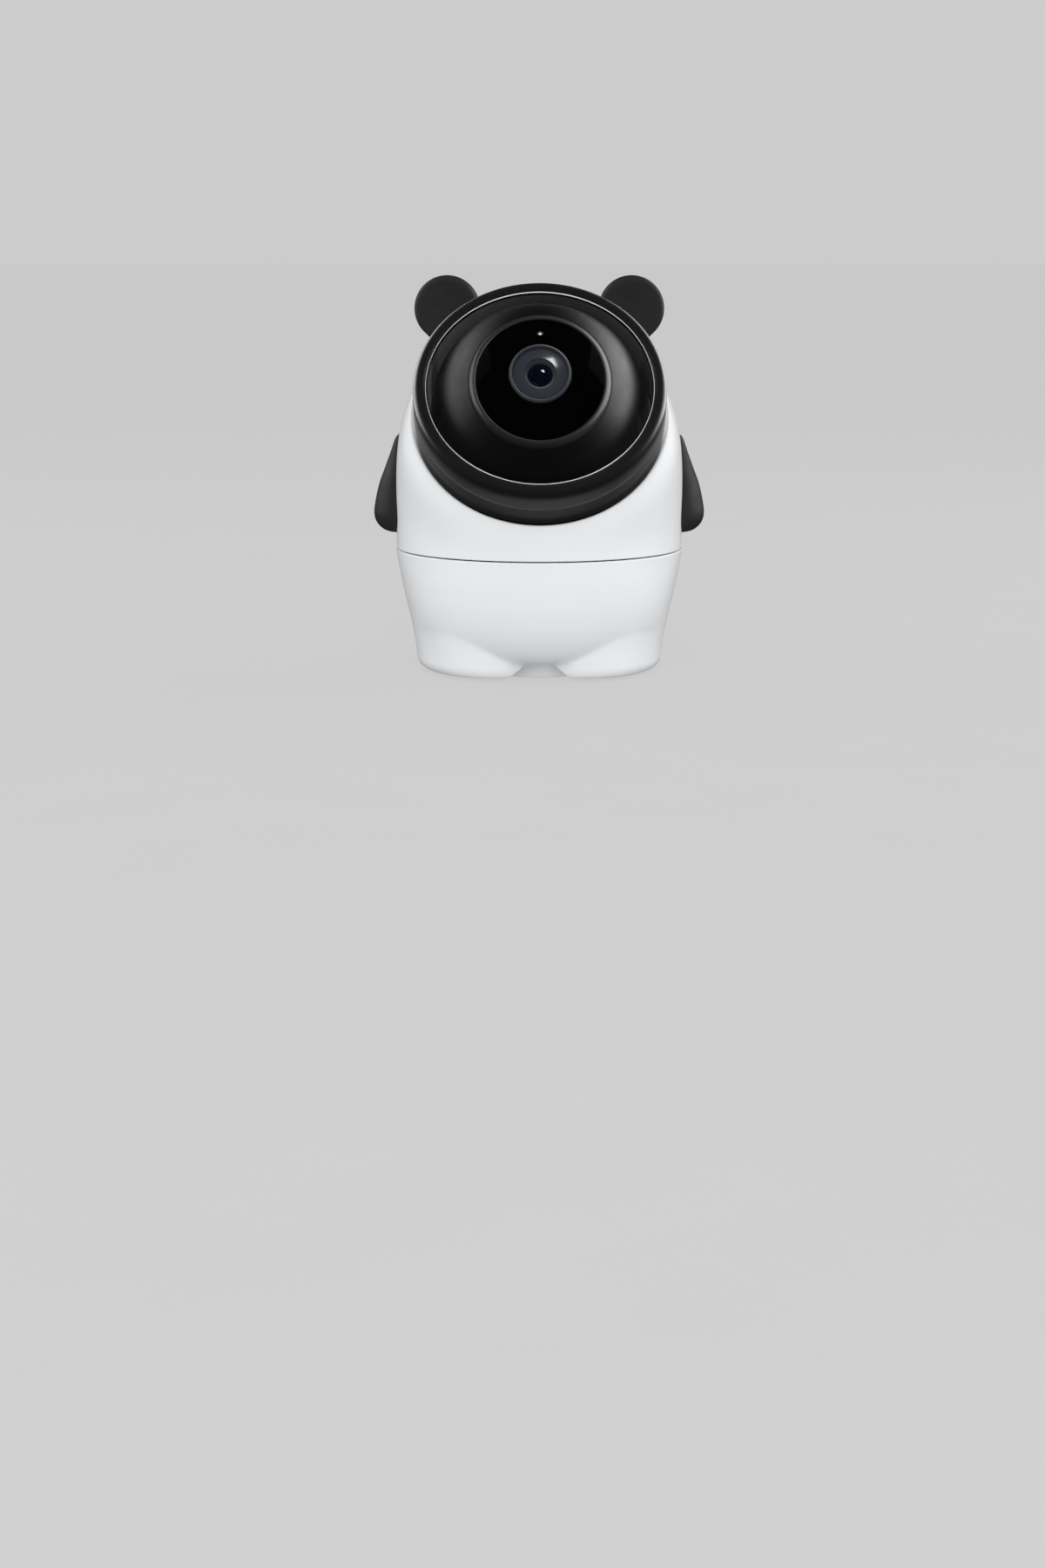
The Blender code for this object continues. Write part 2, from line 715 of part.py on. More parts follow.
def build_ears(envelope):
    """Thick round ears with a dished front."""
    profile = [
        (0, 2.6), (5.0, 2.9), (8.2, 3.6), (9.4, 3.1), (10.05, 1.0), (9.8, -1.2), (8.4, -3.0), (6.0, -3.9),
        (0, -4.2),
    ]
    for side, name in ((-1, "ear_left"), (1, "ear_right")):
        ear = turned(
            name, profile, HEAD, SOFT_BLACK, at=(side * EAR_CENTRE.x, EAR_CENTRE.y, EAR_CENTRE.z),
            turn=(84, 0, side * 6), sides=24,
        )
        root = turned(
            f"{name}_root", profile, HEAD,
            at=(side * (EAR_CENTRE.x - 2.3), EAR_CENTRE.y + 0.5, EAR_CENTRE.z - 4.8),
            turn=(84, 0, side * 6), cutter=True, sides=24,
        )
        combine(ear, root, "UNION")
        combine(ear, envelope)
        peg = ear_peg(f"{name}_peg", side, 1.7)
        combine(ear, peg, "UNION")


def build_arms(envelope):
    """Drop-shaped arms, deeper than they are thick."""
    outer = (
        (69.4, 0), (68.0, 1.4), (63.8, 2.9), (59.2, 4.6), (54.8, 6.2), (49.7, 7.4), (45.8, 7.8),
        (43.0, 6.9), (40.9, 4.4), (40.0, 0),
    )
    for side, name in ((-1, "arm_left"), (1, "arm_right")):
        arm = turned(
            name, [(radius, z) for z, radius in outer], HEAD, SOFT_BLACK, at=(side * ARM_X, ARM_Y, 0),
            sides=20,
        )
        arm.scale = (1, 1.3, 1)
        combine(arm, envelope)
        peg = rod(
            f"{name}_peg", 1.7, 33.5, 43, HEAD, at=(0, ARM_Y, 52), turn=(0, 90 * side, 0), cutter=True,
            sides=10,
        )
        combine(arm, peg, "UNION")


def build_face_ring():
    """Visor ring: rounded lip, straight side, a crease, and a flared foot on the shell's rim."""
    back = -RING_DEPTH + GAP
    turned(
        "face_ring",
        [
            (32.4, 0.0),
            (34.4, 0.0),
            (35.4, -0.35),
            (35.9, -1.1),
            (RING_OUT, -2.2),
            (RING_OUT, -7.6),
            (35.75, -7.9),
            (36.5, back),
            (34.5, back),
            (34.5, -18.5),
            (32.6, -18.5),
            (RING_IN + 0.1, -1.5),
            (RING_IN, -0.5),
        ],
        VISOR,
        BLACK,
    )


def build_turntable():
    """Floor of the head, with the hollow hub that turns in the deck's collar."""
    table = turned(
        "turntable",
        [
            (39.5, TABLE_Z1), (39.5, TABLE_Z0), (HUB_OUT, TABLE_Z0), (HUB_OUT, 26.9), (HUB_IN, 26.9),
            (HUB_IN, TABLE_Z1),
        ],
        HEAD,
        INNER,
        sides=36,
    )
    for i, (x, y) in enumerate(HEAD_POSTS):
        combine(table, rod(f"table_bore_{i}", 1.2, 36, 40, HEAD, at=(x, y, 0), cutter=True, sides=8))
    for i, (x, y) in enumerate(YOKE_SCREWS):
        combine(table, rod(f"yoke_bore_{i}", 1.2, 36, 40, HEAD, at=(x, y, 0), cutter=True, sides=8))


def build_head_fasteners():
    fasteners("head_screw", screw_profile(1.9, 35.75, 36.5, 0.8, 44.0), HEAD_POSTS, HEAD)
    fasteners("yoke_screw", screw_profile(1.8, 35.75, 36.5, 0.8, 41.0), YOKE_SCREWS, HEAD)


def build_pan_gear():
    plate(
        "pan_gear", [gear_outline(PAN_GEAR_TEETH, PAN_MODULE, -pi / 2), circle(HUB_OUT + GAP, 36)],
        32.4, 35.2, HEAD, POM,
    )


def build_pan_retainer():
    """Spring ring pressed on under the hub, which holds the head down on the deck."""
    turned("pan_retainer", [(13.6, 26.6), (13.6, 25.4), (8.2, 25.4), (8.2, 26.6)], HEAD, STEEL, sides=24)


def yoke_side_outline():
    """One side plate in the YZ plane: an arm into the ball, on a foot that stands on the turntable."""
    across = RING_UP
    arm_half = 4.5
    tip = [
        BALL_CENTRE + RING_AXIS * (5 * cos(radians(a))) + across * (5 * sin(radians(a)))
        for a in (-75, -45, -15, 15, 45, 75)
    ]
    upper = BALL_CENTRE - RING_AXIS * 29.2 + across * arm_half
    lower = BALL_CENTRE - RING_AXIS * 29.2 - across * arm_half
    points = [
        *tip, upper, Vector((0, 12, 58)), Vector((0, 21, 42)), Vector((0, 21, 39.1)),
        Vector((0, -12, 39.1)), Vector((0, -12, 42)), lower,
    ]
    return [(point.y, point.z) for point in points]


def build_yoke():
    """Bracket that carries the ball: two side plates, a foot, and a cross plate for the tilt motor."""
    yoke = box("tilt_yoke", (2 * YOKE_X1, 33, 2.2), HEAD, INNER, at=(0, 4.5, 39.1 + 1.1))
    for i, side in enumerate((-1, 1)):
        middle = side * (YOKE_X0 + YOKE_X1) / 2
        side_plate = plate(
            f"yoke_side_{i}", [yoke_side_outline()], middle - 1.2, middle + 1.2, HEAD,
            turn=(90, 0, 90), cutter=True,
        )
        combine(yoke, side_plate, "UNION")
    cross = box("yoke_cross", (2 * YOKE_X1 - 1, 18, 2), YOKE, at=(0, 0, -YOKE_BACK - 1), cutter=True)
    combine(yoke, cross, "UNION")
    combine(yoke, rod("bush_seats", 3.7, -25, 25, YOKE, turn=(0, 90, 0), cutter=True, sides=16))
    combine(yoke, rod("harness_hole", 9.0, 38, 43, HEAD, cutter=True, sides=20))
    for i, (x, y) in enumerate(YOKE_SCREWS):
        combine(yoke, rod(f"yoke_foot_bore_{i}", 1.1, 38, 43, HEAD, at=(x, y, 0), cutter=True, sides=8))


def build_yoke_bushes():
    profile = [(3.4, 21.2), (3.4, 18.7), (4.6, 18.7), (4.6, 18.2), (2.3, 18.2), (2.3, 21.2)]
    turned("tilt_bush_right", profile, YOKE, POM, turn=(0, 90, 0), sides=16)
    turned("tilt_bush_left", profile, YOKE, POM, turn=(0, -90, 0), sides=16)


def build_tilt_motor():
    """Small geared stepper across the yoke, behind the ball, with its pinion on the right."""
    turned(
        "tilt_motor",
        [
            (0, 13.8), (2.6, 13.8), (2.6, 12.6), (7.3, 12.6), (7.5, 12.2), (7.5, -5.6), (7.1, -6.0),
            (0, -6.0),
        ],
        YOKE,
        STEEL,
        at=(0, 0, -TILT_CENTRES),
        turn=(0, 90, 0),
        sides=24,
    )


def build_motor_strap():
    """Strap over the motor, screwed to the cross plate."""
    inner, outer = 7.8, 9.0
    foot_z = -YOKE_BACK + GAP + TILT_CENTRES
    arc = [radians(a) for a in range(0, 181, 15)]
    outline = [(outer * cos(a), outer * sin(a)) for a in arc]
    outline += [(-outer, foot_z + 1.2), (-11.6, foot_z + 1.2), (-11.6, foot_z), (-inner, foot_z)]
    outline += [(inner * cos(a), inner * sin(a)) for a in reversed(arc)]
    outline += [(inner, foot_z), (outer, foot_z)]
    plate("motor_strap", [outline], 1.0, 7.0, YOKE, STEEL, at=(0, 0, -TILT_CENTRES), turn=(90, 0, 90))


def build_tilt_pinion():
    outline = gear_outline(TILT_PINION_TEETH, TILT_MODULE, pi / TILT_PINION_TEETH, fine=True)
    pinion = plate(
        "tilt_pinion", [outline], 14.9, 18.1, YOKE, POM, at=(0, 0, -TILT_CENTRES), turn=(0, 90, 0)
    )
    combine(
        pinion,
        rod(
            "tilt_pinion_shaft", 0.9, 14.1, 16, YOKE, at=(0, 0, -TILT_CENTRES), turn=(0, 90, 0),
            cutter=True, sides=12,
        ),
        "UNION",
    )


def build_head_electronics():
    board = box("head_board", (42, 1.6, 31), HEAD, BOARD, at=(0, BOARD_Y, 58.5))
    combine(board, box("memory_chip", (9, 1.4, 9), HEAD, at=(-13, BOARD_Y - 1.4, 64), cutter=True), "UNION")
    combine(board, box("board_plug", (10, 4.6, 4), HEAD, at=(0, BOARD_Y - 2.8, 46), cutter=True), "UNION")
    box("radio_shield", (17, 2.2, 15), HEAD, STEEL, at=(6, BOARD_Y - 1.9 - GAP, 60), round_off=0.4)
    box("antenna", (26, 1.0, 7), HEAD, BOARD, at=(0, BOARD_Y - 1, 84), turn=(-35, 0, 0))
    cone = [(0, 32.2), (5.2, 32.8), (6.4, 32.1), (12.4, 33.2), (13.0, 33.6), (14.0, 33.6)]
    magnet = [(14.0, 31.6), (12.4, 31.2), (8.5, 28.8), (8.5, 24.6), (0, 24.6)]
    turned("speaker", cone + magnet, HEAD, CHIP, at=(0, 0, GRILLE_Z), turn=(-90, 0, 0), sides=28)
    cable(
        "head_harness",
        [
            (0, 16.6, 46), (0, 13, 46.2), (0, 7, 46), (0, 2.5, 44.0), (0, 0.4, 40), (0, 0, 34), (0, 0, 27),
            (0, 0, 21),
        ],
        1.5,
        HEAD,
        CABLE,
    )


def build_base_wiring():
    box("harness_plug", (8, 5.4, 9.4), BASE, WHITE, at=(0, 0, 15.8), round_off=0.4)
    cable(
        "base_lead",
        [(3.0, 4.0, 14.2), (4.0, 7.0, 14.0), (5.0, 10.0, 14.6), (5.0, 13.4, 14.8), (4.8, 13.6, 13.6)],
        0.9,
        BASE,
        CABLE,
    )
    cable(
        "pan_motor_lead",
        [
            (4.0, -14.0, 21.0), (7.0, -11.5, 20), (9.0, -4, 16), (10.2, 4, 13), (9.0, 8.5, 12.2),
            (7.0, 10.0, 11.9),
        ],
        0.9,
        BASE,
        CABLE,
    )


# ---------------------------------------------------------------- camera ball, which tilts


def ball_arc(start, end, radius, steps):
    """Points on a circle between two distances along the lens axis, front to back."""
    high, low = acos(start / radius), acos(end / radius)
    angles = [high + (low - high) * i / steps for i in range(steps + 1)]
    return [(radius * sin(a), radius * cos(a)) for a in angles]



def build_ball():
    """Two halves of a sphere. The front one has a ledge inside that the cradle is fixed behind."""
    outside = ball_arc(BEZEL_SEAT, BALL_SPLIT + 0.15, BALL_RADIUS, 6)
    inside = ball_arc(16.8, BALL_SPLIT + 0.15, BALL_RADIUS - BALL_WALL, 3)
    ledge = [(20.6, 16.8), (20.6, 18.8), (BEZEL_RADIUS + GAP, BEZEL_SEAT - 2.6)]
    turned("ball_front", outside + inside[::-1] + ledge, BALL, BLACK)
    outside = ball_arc(BALL_SPLIT - 0.15, -BALL_REAR_CUT, BALL_RADIUS, 2)
    inside = ball_arc(BALL_SPLIT - 0.15, -BALL_REAR_CUT, BALL_RADIUS - BALL_WALL, 2)
    turned("ball_rear", outside + inside[::-1], BALL, BLACK)


def build_window():
    """Gloss window that completes the sphere inside its bezel, with the lens through its middle."""
    outside, inside = (
        ball_arc(sqrt(radius**2 - WINDOW_HOLE**2), sqrt(radius**2 - WINDOW_RADIUS**2), radius, steps)
        for radius, steps in ((BALL_RADIUS - 0.2, 3), (BALL_RADIUS - 1.8, 2))
    )
    turned("window", outside + inside[::-1], BALL, WINDOW, sides=36)
    turned(
        "window_bezel",
        [(18.3, 25.75), (19.1, 25.45), (19.9, 24.6), (20.1, 23.9), (20.1, 20.7), (18.3, 20.7)],
        BALL,
        BLACK,
    )


def build_lens():
    turned(
        "lens_barrel",
        [
            (8.2, 30.4), (8.7, 29.9), (8.7, 27.0), (7.0, 26.4), (7.0, 12.0), (5.6, 12.0), (5.6, 27.6),
            (7.0, 29.6),
        ],
        BALL,
        LENS_GREY,
        sides=32,
    )
    glass = [(0, 29.9), (1.6, 29.75), (3.1, 29.3), (4.4, 28.5), (5.2, 27.6), (5.2, 25.6), (0, 25.6)]
    turned("lens_front_glass", glass, BALL, GLASS, sides=24)
    holder = [(8.6, 16.4), (8.6, 9.8), (5.2, 9.8), (5.2, 11.6), (7.3, 11.6), (7.3, 16.4)]
    turned("lens_holder", holder, BALL, CHIP, sides=24)


def build_ball_electronics():
    sensor = plate("sensor_board", [rounded_box(21, 21, 1.2)], 8.0, 9.5, BALL, BOARD)
    combine(sensor, box("image_sensor", (7, 7, 0.9), BALL, at=(0, 0, 9.8), cutter=True), "UNION")
    ir_board = turned(
        "infrared_board", [(17.0, 23.0), (17.0, 21.8), (9.2, 21.8), (9.2, 23.0)], BALL, BOARD, sides=24
    )
    for i in range(6):
        at = (13 * cos(i * pi / 3), 13 * sin(i * pi / 3), 0)
        led = turned(
            f"led_{i}", [(0, 24.6), (0.9, 24.4), (1.4, 23.9), (1.5, 22.5), (0, 22.5)], BALL, at=at,
            cutter=True, sides=8,
        )
        combine(ir_board, led, "UNION")
    turned(
        "light_sensor", [(0, 26.2), (0.8, 26.1), (0.9, 23.3), (0, 23.3)], BALL, LED, at=(0, 12.2, 0),
        sides=16,
    )
    sensor_lead = [(0, -11.0, 7.4), (0, -12.2, 5.0), (0, -11.0, 1.5), (0, -7.5, -1.5), (0, -3.5, -3.5)]
    cable("sensor_lead", sensor_lead, 0.8, BALL, CABLE)


def build_cradle():
    """Frame inside the ball: a front plate that the shell is screwed to, and two cheeks on the tilt axle."""
    front_z0, front_z1 = 15.1, 16.5
    cradle = plate("ball_cradle", [circle(20.4, 24), circle(9.2, 16)], front_z0, front_z1, BALL, INNER)
    for i, side in enumerate((-1, 1)):
        middle = side * (CHEEK_X0 + CHEEK_X1) / 2
        outline = [(4.6, 15.6), (-4.6, 15.6)] + [
            (4.6 * cos(radians(a)), 4.6 * sin(radians(a))) for a in range(180, 361, 30)
        ]
        cheek = plate(
            f"cheek_{i}", [outline], middle - 1, middle + 1, BALL, turn=(90, 0, 90), cutter=True
        )
        combine(cradle, cheek, "UNION")
    combine(cradle, rod("axle_bores", 2.3, -18, 18, BALL, turn=(0, 90, 0), cutter=True, sides=12))


def build_tilt_axles():
    right = [(0, 21.6), (2.0, 21.6), (2.0, 12.1), (3.4, 12.1), (3.4, 11.0), (0, 11.0)]
    turned("tilt_axle_right", right, BALL, STEEL, turn=(0, 90, 0), sides=16)
    turned("tilt_axle_left", right, BALL, STEEL, turn=(0, -90, 0), sides=16)


def build_tilt_gear():
    """The gear meshes with the pinion behind it, whatever way the ball looks at rest."""
    outline = gear_outline(TILT_GEAR_TEETH, TILT_MODULE)
    plate("tilt_gear", [outline, circle(2.3, 20)], 14.7, 17.9, YOKE, POM, turn=(0, 90, 0))


# ---------------------------------------------------------------- build

build_base_shell()
build_bottom_cover()
build_tripod_insert()
build_base_fasteners()
build_pan_deck()
build_pan_motor()
build_pan_bearing()
build_base_board()
build_power_inlet()
build_pair_button()
build_pan_pinion()
build_base_wiring()

head_cutter = head_envelope()
build_head_shell()
build_ears(head_cutter)
build_arms(head_cutter)
build_face_ring()
build_turntable()
build_head_fasteners()
build_pan_gear()
build_pan_retainer()
build_yoke()
build_yoke_bushes()
build_tilt_motor()
build_motor_strap()
build_tilt_pinion()
build_head_electronics()

build_ball()
build_window()
build_lens()
build_ball_electronics()
build_cradle()
build_tilt_axles()
build_tilt_gear()
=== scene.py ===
"""Looks for a panda-shaped pan-and-tilt baby monitor camera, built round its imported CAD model.

Shapes are worked out in millimetres from the pan axis and turned into metres as each mesh is made.
+Z is up and the camera looks towards -Y.
"""

import json
from math import acos, cos, degrees, hypot, pi, radians, sin, sqrt

import bmesh
import bpy
from mathutils import Matrix, Vector


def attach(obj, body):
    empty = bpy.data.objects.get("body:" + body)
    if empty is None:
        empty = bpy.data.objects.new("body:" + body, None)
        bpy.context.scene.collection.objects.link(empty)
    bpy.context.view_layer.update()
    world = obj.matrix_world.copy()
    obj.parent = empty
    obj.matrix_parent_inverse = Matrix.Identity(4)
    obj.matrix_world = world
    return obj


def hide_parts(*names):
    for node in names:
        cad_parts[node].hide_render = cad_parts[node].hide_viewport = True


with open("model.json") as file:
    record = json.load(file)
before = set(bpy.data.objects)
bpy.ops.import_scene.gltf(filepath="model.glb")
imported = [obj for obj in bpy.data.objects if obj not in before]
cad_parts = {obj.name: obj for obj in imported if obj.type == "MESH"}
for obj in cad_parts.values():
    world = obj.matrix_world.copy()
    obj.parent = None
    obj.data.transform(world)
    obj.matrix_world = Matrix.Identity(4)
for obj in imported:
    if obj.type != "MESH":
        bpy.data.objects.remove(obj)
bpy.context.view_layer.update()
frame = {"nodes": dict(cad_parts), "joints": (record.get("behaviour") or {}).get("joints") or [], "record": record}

MM = 0.001
JOINTS = {joint["name"]: joint for joint in frame["joints"]}
PAN = Vector((0, JOINTS["head_pan"]["pos_m"][1], 0))
ROUND = 256  # sides of the large round pieces
SHARP = 38  # edges steeper than this many degrees stay sharp

# Body and visor, as in the CAD model
BODY_RADIUS = 42.0
BASE_TOP, HEAD_BOTTOM = 35.84, 36.16  # the CAD leaves a wider gap at this seam
WALL = 2.0
RING_TILT = 36.6
RING_DEPTH = 14.5
RIM_RADIUS = 37.0
RING_AXIS = Vector((0, -cos(radians(RING_TILT)), sin(radians(RING_TILT))))
RING_UP = Vector((0, sin(radians(RING_TILT)), cos(radians(RING_TILT))))
BALL_CENTRE = (Vector(JOINTS["ball_tilt"]["pos_m"]) - PAN) / MM
BALL_SETBACK = 14.0
BALL_LOOK = 25.6
BALL_RADIUS = 31.3
BALL_SPLIT, BALL_REAR_CUT = -2.0, 12.0
BEZEL_RADIUS = 20.1
WINDOW_RADIUS, WINDOW_HOLE = 18.0, 9.1
RING_CENTRE = BALL_CENTRE + RING_AXIS * BALL_SETBACK
RIM_CENTRE = RING_CENTRE - RING_AXIS * RING_DEPTH
INLET_Z = 12.0
BUTTON_ANGLE = 24.0
SENSOR_RISE = 12.2  # from the lens axis
GRILLE_Z = 58.0
EAR_CENTRE = Vector((26.9, 3.0, 105.7))
ARM_X, ARM_Y = 41.0, 3.0
SCREW_SPOTS = [(-17.5, 17.5), (17.5, 17.5), (-20.5, -13.5), (20.5, -13.5)]


def pose(centre, tilt=90.0, turn=0.0):
    """A matrix whose local Z looks forwards at an elevation of tilt degrees. The centre is in millimetres."""
    return (
        Matrix.Translation(PAN)
        @ Matrix.Scale(MM, 4)
        @ Matrix.Translation(Vector(centre))
        @ Matrix.Rotation(radians(turn), 4, "Z")
        @ Matrix.Rotation(radians(90 - tilt), 4, "X")
    )


UPRIGHT = pose((0, 0, 0))
VISOR = pose(RING_CENTRE, RING_TILT)
BALL = pose(BALL_CENTRE, BALL_LOOK)


# ---------------------------------------------------------------- materials


class Nodes:
    """A material's node tree, with short ways to add and join nodes."""

    def __init__(self, name):
        self.material = bpy.data.materials.new(name)
        self.material.use_nodes = True
        self.tree = self.material.node_tree
        self.shader = self.tree.nodes["Principled BSDF"]
        self.place = self.add("ShaderNodeTexCoord").outputs["Object"]

    def add(self, kind, inputs=(), **settings):
        node = self.tree.nodes.new(kind)
        for key, value in settings.items():
            setattr(node, key, value)
        for key, value in dict(inputs).items():
            if isinstance(value, bpy.types.NodeSocket):
                self.tree.links.new(value, node.inputs[key])
            else:
                node.inputs[key].default_value = value
        return node

    def set(self, **values):
        for key, value in values.items():
            self.shader.inputs[key.replace("_", " ")].default_value = value

    def join(self, socket, key):
        self.tree.links.new(socket, self.shader.inputs[key])

    def noise(self, scale, detail=3.0, stretch=None):
        """Noise with about scale features to the metre."""
        place = self.place
        if stretch:
            place = self.add("ShaderNodeMapping", {"Vector": place, "Scale": stretch}).outputs[0]
        inputs = {"Vector": place, "Scale": scale, "Detail": detail}
        return self.add("ShaderNodeTexNoise", inputs).outputs["Fac"]

    def spread(self, value, low, high, floor=0.3, ceiling=0.7):
        inputs = {"Value": value, "From Min": floor, "From Max": ceiling, "To Min": low, "To Max": high}
        return self.add("ShaderNodeMapRange", inputs).outputs[0]

    def blend(self, factor, first, second):
        node = self.add("ShaderNodeMix", data_type="RGBA")
        for socket, value in zip((node.inputs[0], node.inputs[6], node.inputs[7]), (factor, first, second)):
            if isinstance(value, bpy.types.NodeSocket):
                self.tree.links.new(value, socket)
            else:
                socket.default_value = value
        return node.outputs[2]

    def bump(self, height, strength, distance=0.0001):
        inputs = {"Height": height, "Strength": strength, "Distance": distance}
        self.join(self.add("ShaderNodeBump", inputs).outputs[0], "Normal")


def shade(colour, amount):
    """The colour, lighter or darker, with its alpha."""
    return (*(min(1.0, channel * amount) for channel in colour), 1)


def moulded(name, colour, roughness, grain=1400, depth=0.1, vary=0.04, rough_vary=0.15, **settings):
    """Moulded plastic or rubber: slight blotches of colour and gloss over a fine grain."""
    nodes = Nodes(name)
    nodes.set(**settings)
    blotch = nodes.spread(nodes.noise(60, 2.0), 0.0, 1.0)
    nodes.join(nodes.blend(blotch, shade(colour, 1 - vary), shade(colour, 1 + vary)), "Base Color")
    wear = nodes.noise(260, 4.0)
    nodes.join(nodes.spread(wear, roughness * (1 - rough_vary), roughness * (1 + rough_vary)), "Roughness")
    nodes.bump(nodes.noise(grain, 4.0), depth)
    return nodes.material


def drawn_metal(name, colour, roughness, stretch=(1, 1, 14), grain=2600, **settings):
    """Plated or turned metal with fine lines along one direction."""
    nodes = Nodes(name)
    nodes.set(Metallic=1.0, **settings)
    lines = nodes.noise(grain, 3.0, stretch)
    stain = nodes.spread(nodes.noise(180, 3.0), 0.0, 1.0)
    nodes.join(nodes.blend(stain, shade(colour, 0.86), shade(colour, 1.06)), "Base Color")
    nodes.join(nodes.spread(lines, roughness * 0.7, roughness * 1.4), "Roughness")
    nodes.bump(lines, 0.12)
    return nodes.material


def circuit(name):
    """Green solder mask over copper tracks, with plated holes."""
    nodes = Nodes(name)
    tracks = nodes.add(
        "ShaderNodeTexBrick",
        {"Vector": nodes.place, "Scale": 260.0, "Mortar Size": 0.035, "Brick Width": 1.7, "Row Height": 0.45},
        offset=0.37,
    ).outputs["Fac"]
    cells = nodes.add("ShaderNodeTexVoronoi", {"Vector": nodes.place, "Scale": 420.0}).outputs["Distance"]
    holes = nodes.spread(cells, 1.0, 0.0, 0.10, 0.14)
    mask = nodes.blend(tracks, (0.008, 0.075, 0.03, 1), (0.02, 0.16, 0.06, 1))
    nodes.join(nodes.blend(holes, mask, (0.62, 0.5, 0.25, 1)), "Base Color")
    nodes.join(nodes.spread(nodes.noise(700, 2.0), 0.28, 0.42), "Roughness")
    nodes.bump(tracks, 0.25)
    return nodes.material


def braided(name, colour, roughness):
    """Cable jacket with a fine crosswise grain."""
    nodes = Nodes(name)
    wave = nodes.add(
        "ShaderNodeTexWave",
        {"Vector": nodes.place, "Scale": 900.0, "Distortion": 1.4},
        bands_direction="DIAGONAL",
    ).outputs["Fac"]
    nodes.join(nodes.blend(wave, shade(colour, 0.8), shade(colour, 1.15)), "Base Color")
    nodes.join(nodes.spread(nodes.noise(900, 2.0), roughness * 0.85, roughness * 1.15), "Roughness")
    nodes.bump(wave, 0.2)
    return nodes.material


WHITE = moulded(
    "white_gloss", (0.79, 0.805, 0.82), 0.32, grain=5200, depth=0.012, vary=0.010, rough_vary=0.06
)
# Grey in place of the black of the ring's inner wall: a painted reflection source, so that the ball's edge beside
# it shows light.
LINER_PAINTED_REFLECTION_GREY = moulded("visor_liner_painted_reflection_grey", (0.085, 0.085, 0.086), 0.5, grain=5200, depth=0.05)
VISOR_BLACK = moulded(
    "visor_satin_black", (0.008, 0.008, 0.008), 0.33,
    grain=5200, depth=0.03, rough_vary=0.08, Specular_IOR_Level=0.28,
)
BALL_BLACK = moulded(
    "ball_satin_black", (0.003, 0.003, 0.0035), 0.45, grain=5200, depth=0.03, rough_vary=0.08
)
EAR_GREY = moulded("ear_fine_grain", (0.021, 0.021, 0.021), 0.52, grain=5200, depth=0.22, vary=0.08)
WINDOW_GLOSS = moulded(
    "window_gloss_black", (0.0008, 0.0008, 0.001), 0.06,
    grain=300, depth=0.003, vary=0.2, Specular_IOR_Level=0.02,
)
LENS_GREY = moulded("lens_ring_grey", (0.03, 0.032, 0.036), 0.3, grain=5200, depth=0.05)
LENS_BLUE = moulded("lens_baffle_blue_grey", (0.024, 0.026, 0.034), 0.15, grain=5200, depth=0.05)
IRIS_DARK = moulded("iris_coating", (0.002, 0.002, 0.006), 0.06, grain=900, depth=0.01)
# Silver metal in place of the ring's black: a painted highlight line on the rounded inner edge, brightened further
# by the lip_strip lamp.
LIP_PAINTED_HIGHLIGHT_SILVER = moulded("lip_painted_highlight_silver", (0.34, 0.34, 0.34), 0.16, grain=5200, depth=0.02, Metallic=1.0)
INNER_GREY = moulded("inner_moulding", (0.3, 0.31, 0.33), 0.5, depth=0.12)
ACETAL = moulded("gear_acetal", (0.78, 0.77, 0.71), 0.42, depth=0.08)
CHIP_BLACK = moulded("moulded_black", (0.022, 0.022, 0.022), 0.5, grain=3000, depth=0.2)
RUBBER = moulded("foot_rubber", (0.72, 0.73, 0.74), 0.72, grain=3600, depth=0.2, vary=0.05)
SENSOR_EPOXY = moulded("sensor_epoxy", (0.55, 0.54, 0.6), 0.15, grain=2000, depth=0.05)
GRILLE_CLOTH = moulded("grille_cloth", (0.02, 0.02, 0.02), 0.8, grain=9000, depth=0.5, vary=0.2)
STEEL = drawn_metal("plated_steel", (0.6, 0.6, 0.62), 0.3)
BRASS = drawn_metal("turned_brass", (0.78, 0.58, 0.27), 0.28, stretch=(1, 1, 30))
GOLD = drawn_metal("gold_contacts", (0.85, 0.64, 0.3), 0.22)
BOARD = circuit("solder_mask")
CABLE = braided("cable_jacket_black", (0.03, 0.03, 0.033), 0.55)


# ---------------------------------------------------------------- mesh building


def finish_mesh(obj, angle=SHARP):
    """Smooth shading, with the steep edges kept sharp."""
    obj.data.shade_smooth()
    obj.data.set_sharp_from_angle(angle=radians(angle))


def mesh_object(name, verts, faces, to_world, angle=SHARP):
    """A mesh with outward faces. to_world takes its points from local millimetres to the frame."""
    mesh = bpy.data.meshes.new(name)
    mesh.from_pydata([to_world @ Vector(v) for v in verts], [], faces)
    bm = bmesh.new()
    bm.from_mesh(mesh)
    bmesh.ops.remove_doubles(bm, verts=bm.verts, dist=1e-7)
    bmesh.ops.recalc_face_normals(bm, faces=bm.faces)
    bm.to_mesh(mesh)
    bm.free()
    obj = bpy.data.objects.new(name, mesh)
    bpy.context.scene.collection.objects.link(obj)
    finish_mesh(obj, angle)
    return obj


def loops_object(name, loops, to_world=UPRIGHT, closed=True, caps=False, angle=SHARP):
    """Rings of points joined in order. closed joins the last ring to the first, as on a thick shell."""
    count = len(loops[0])
    faces = []
    pairs = list(zip(range(len(loops)), range(1, len(loops))))
    if closed:
        pairs.append((len(loops) - 1, 0))
    for a, b in pairs:
        for i in range(count):
            j = (i + 1) % count
            faces.append((a * count + i, a * count + j, b * count + j, b * count + i))
    if caps:
        faces.append(tuple(range(count)))
        faces.append(tuple((len(loops) - 1) * count + i for i in range(count)))
    return mesh_object(name, [p for loop in loops for p in loop], faces, to_world, angle)


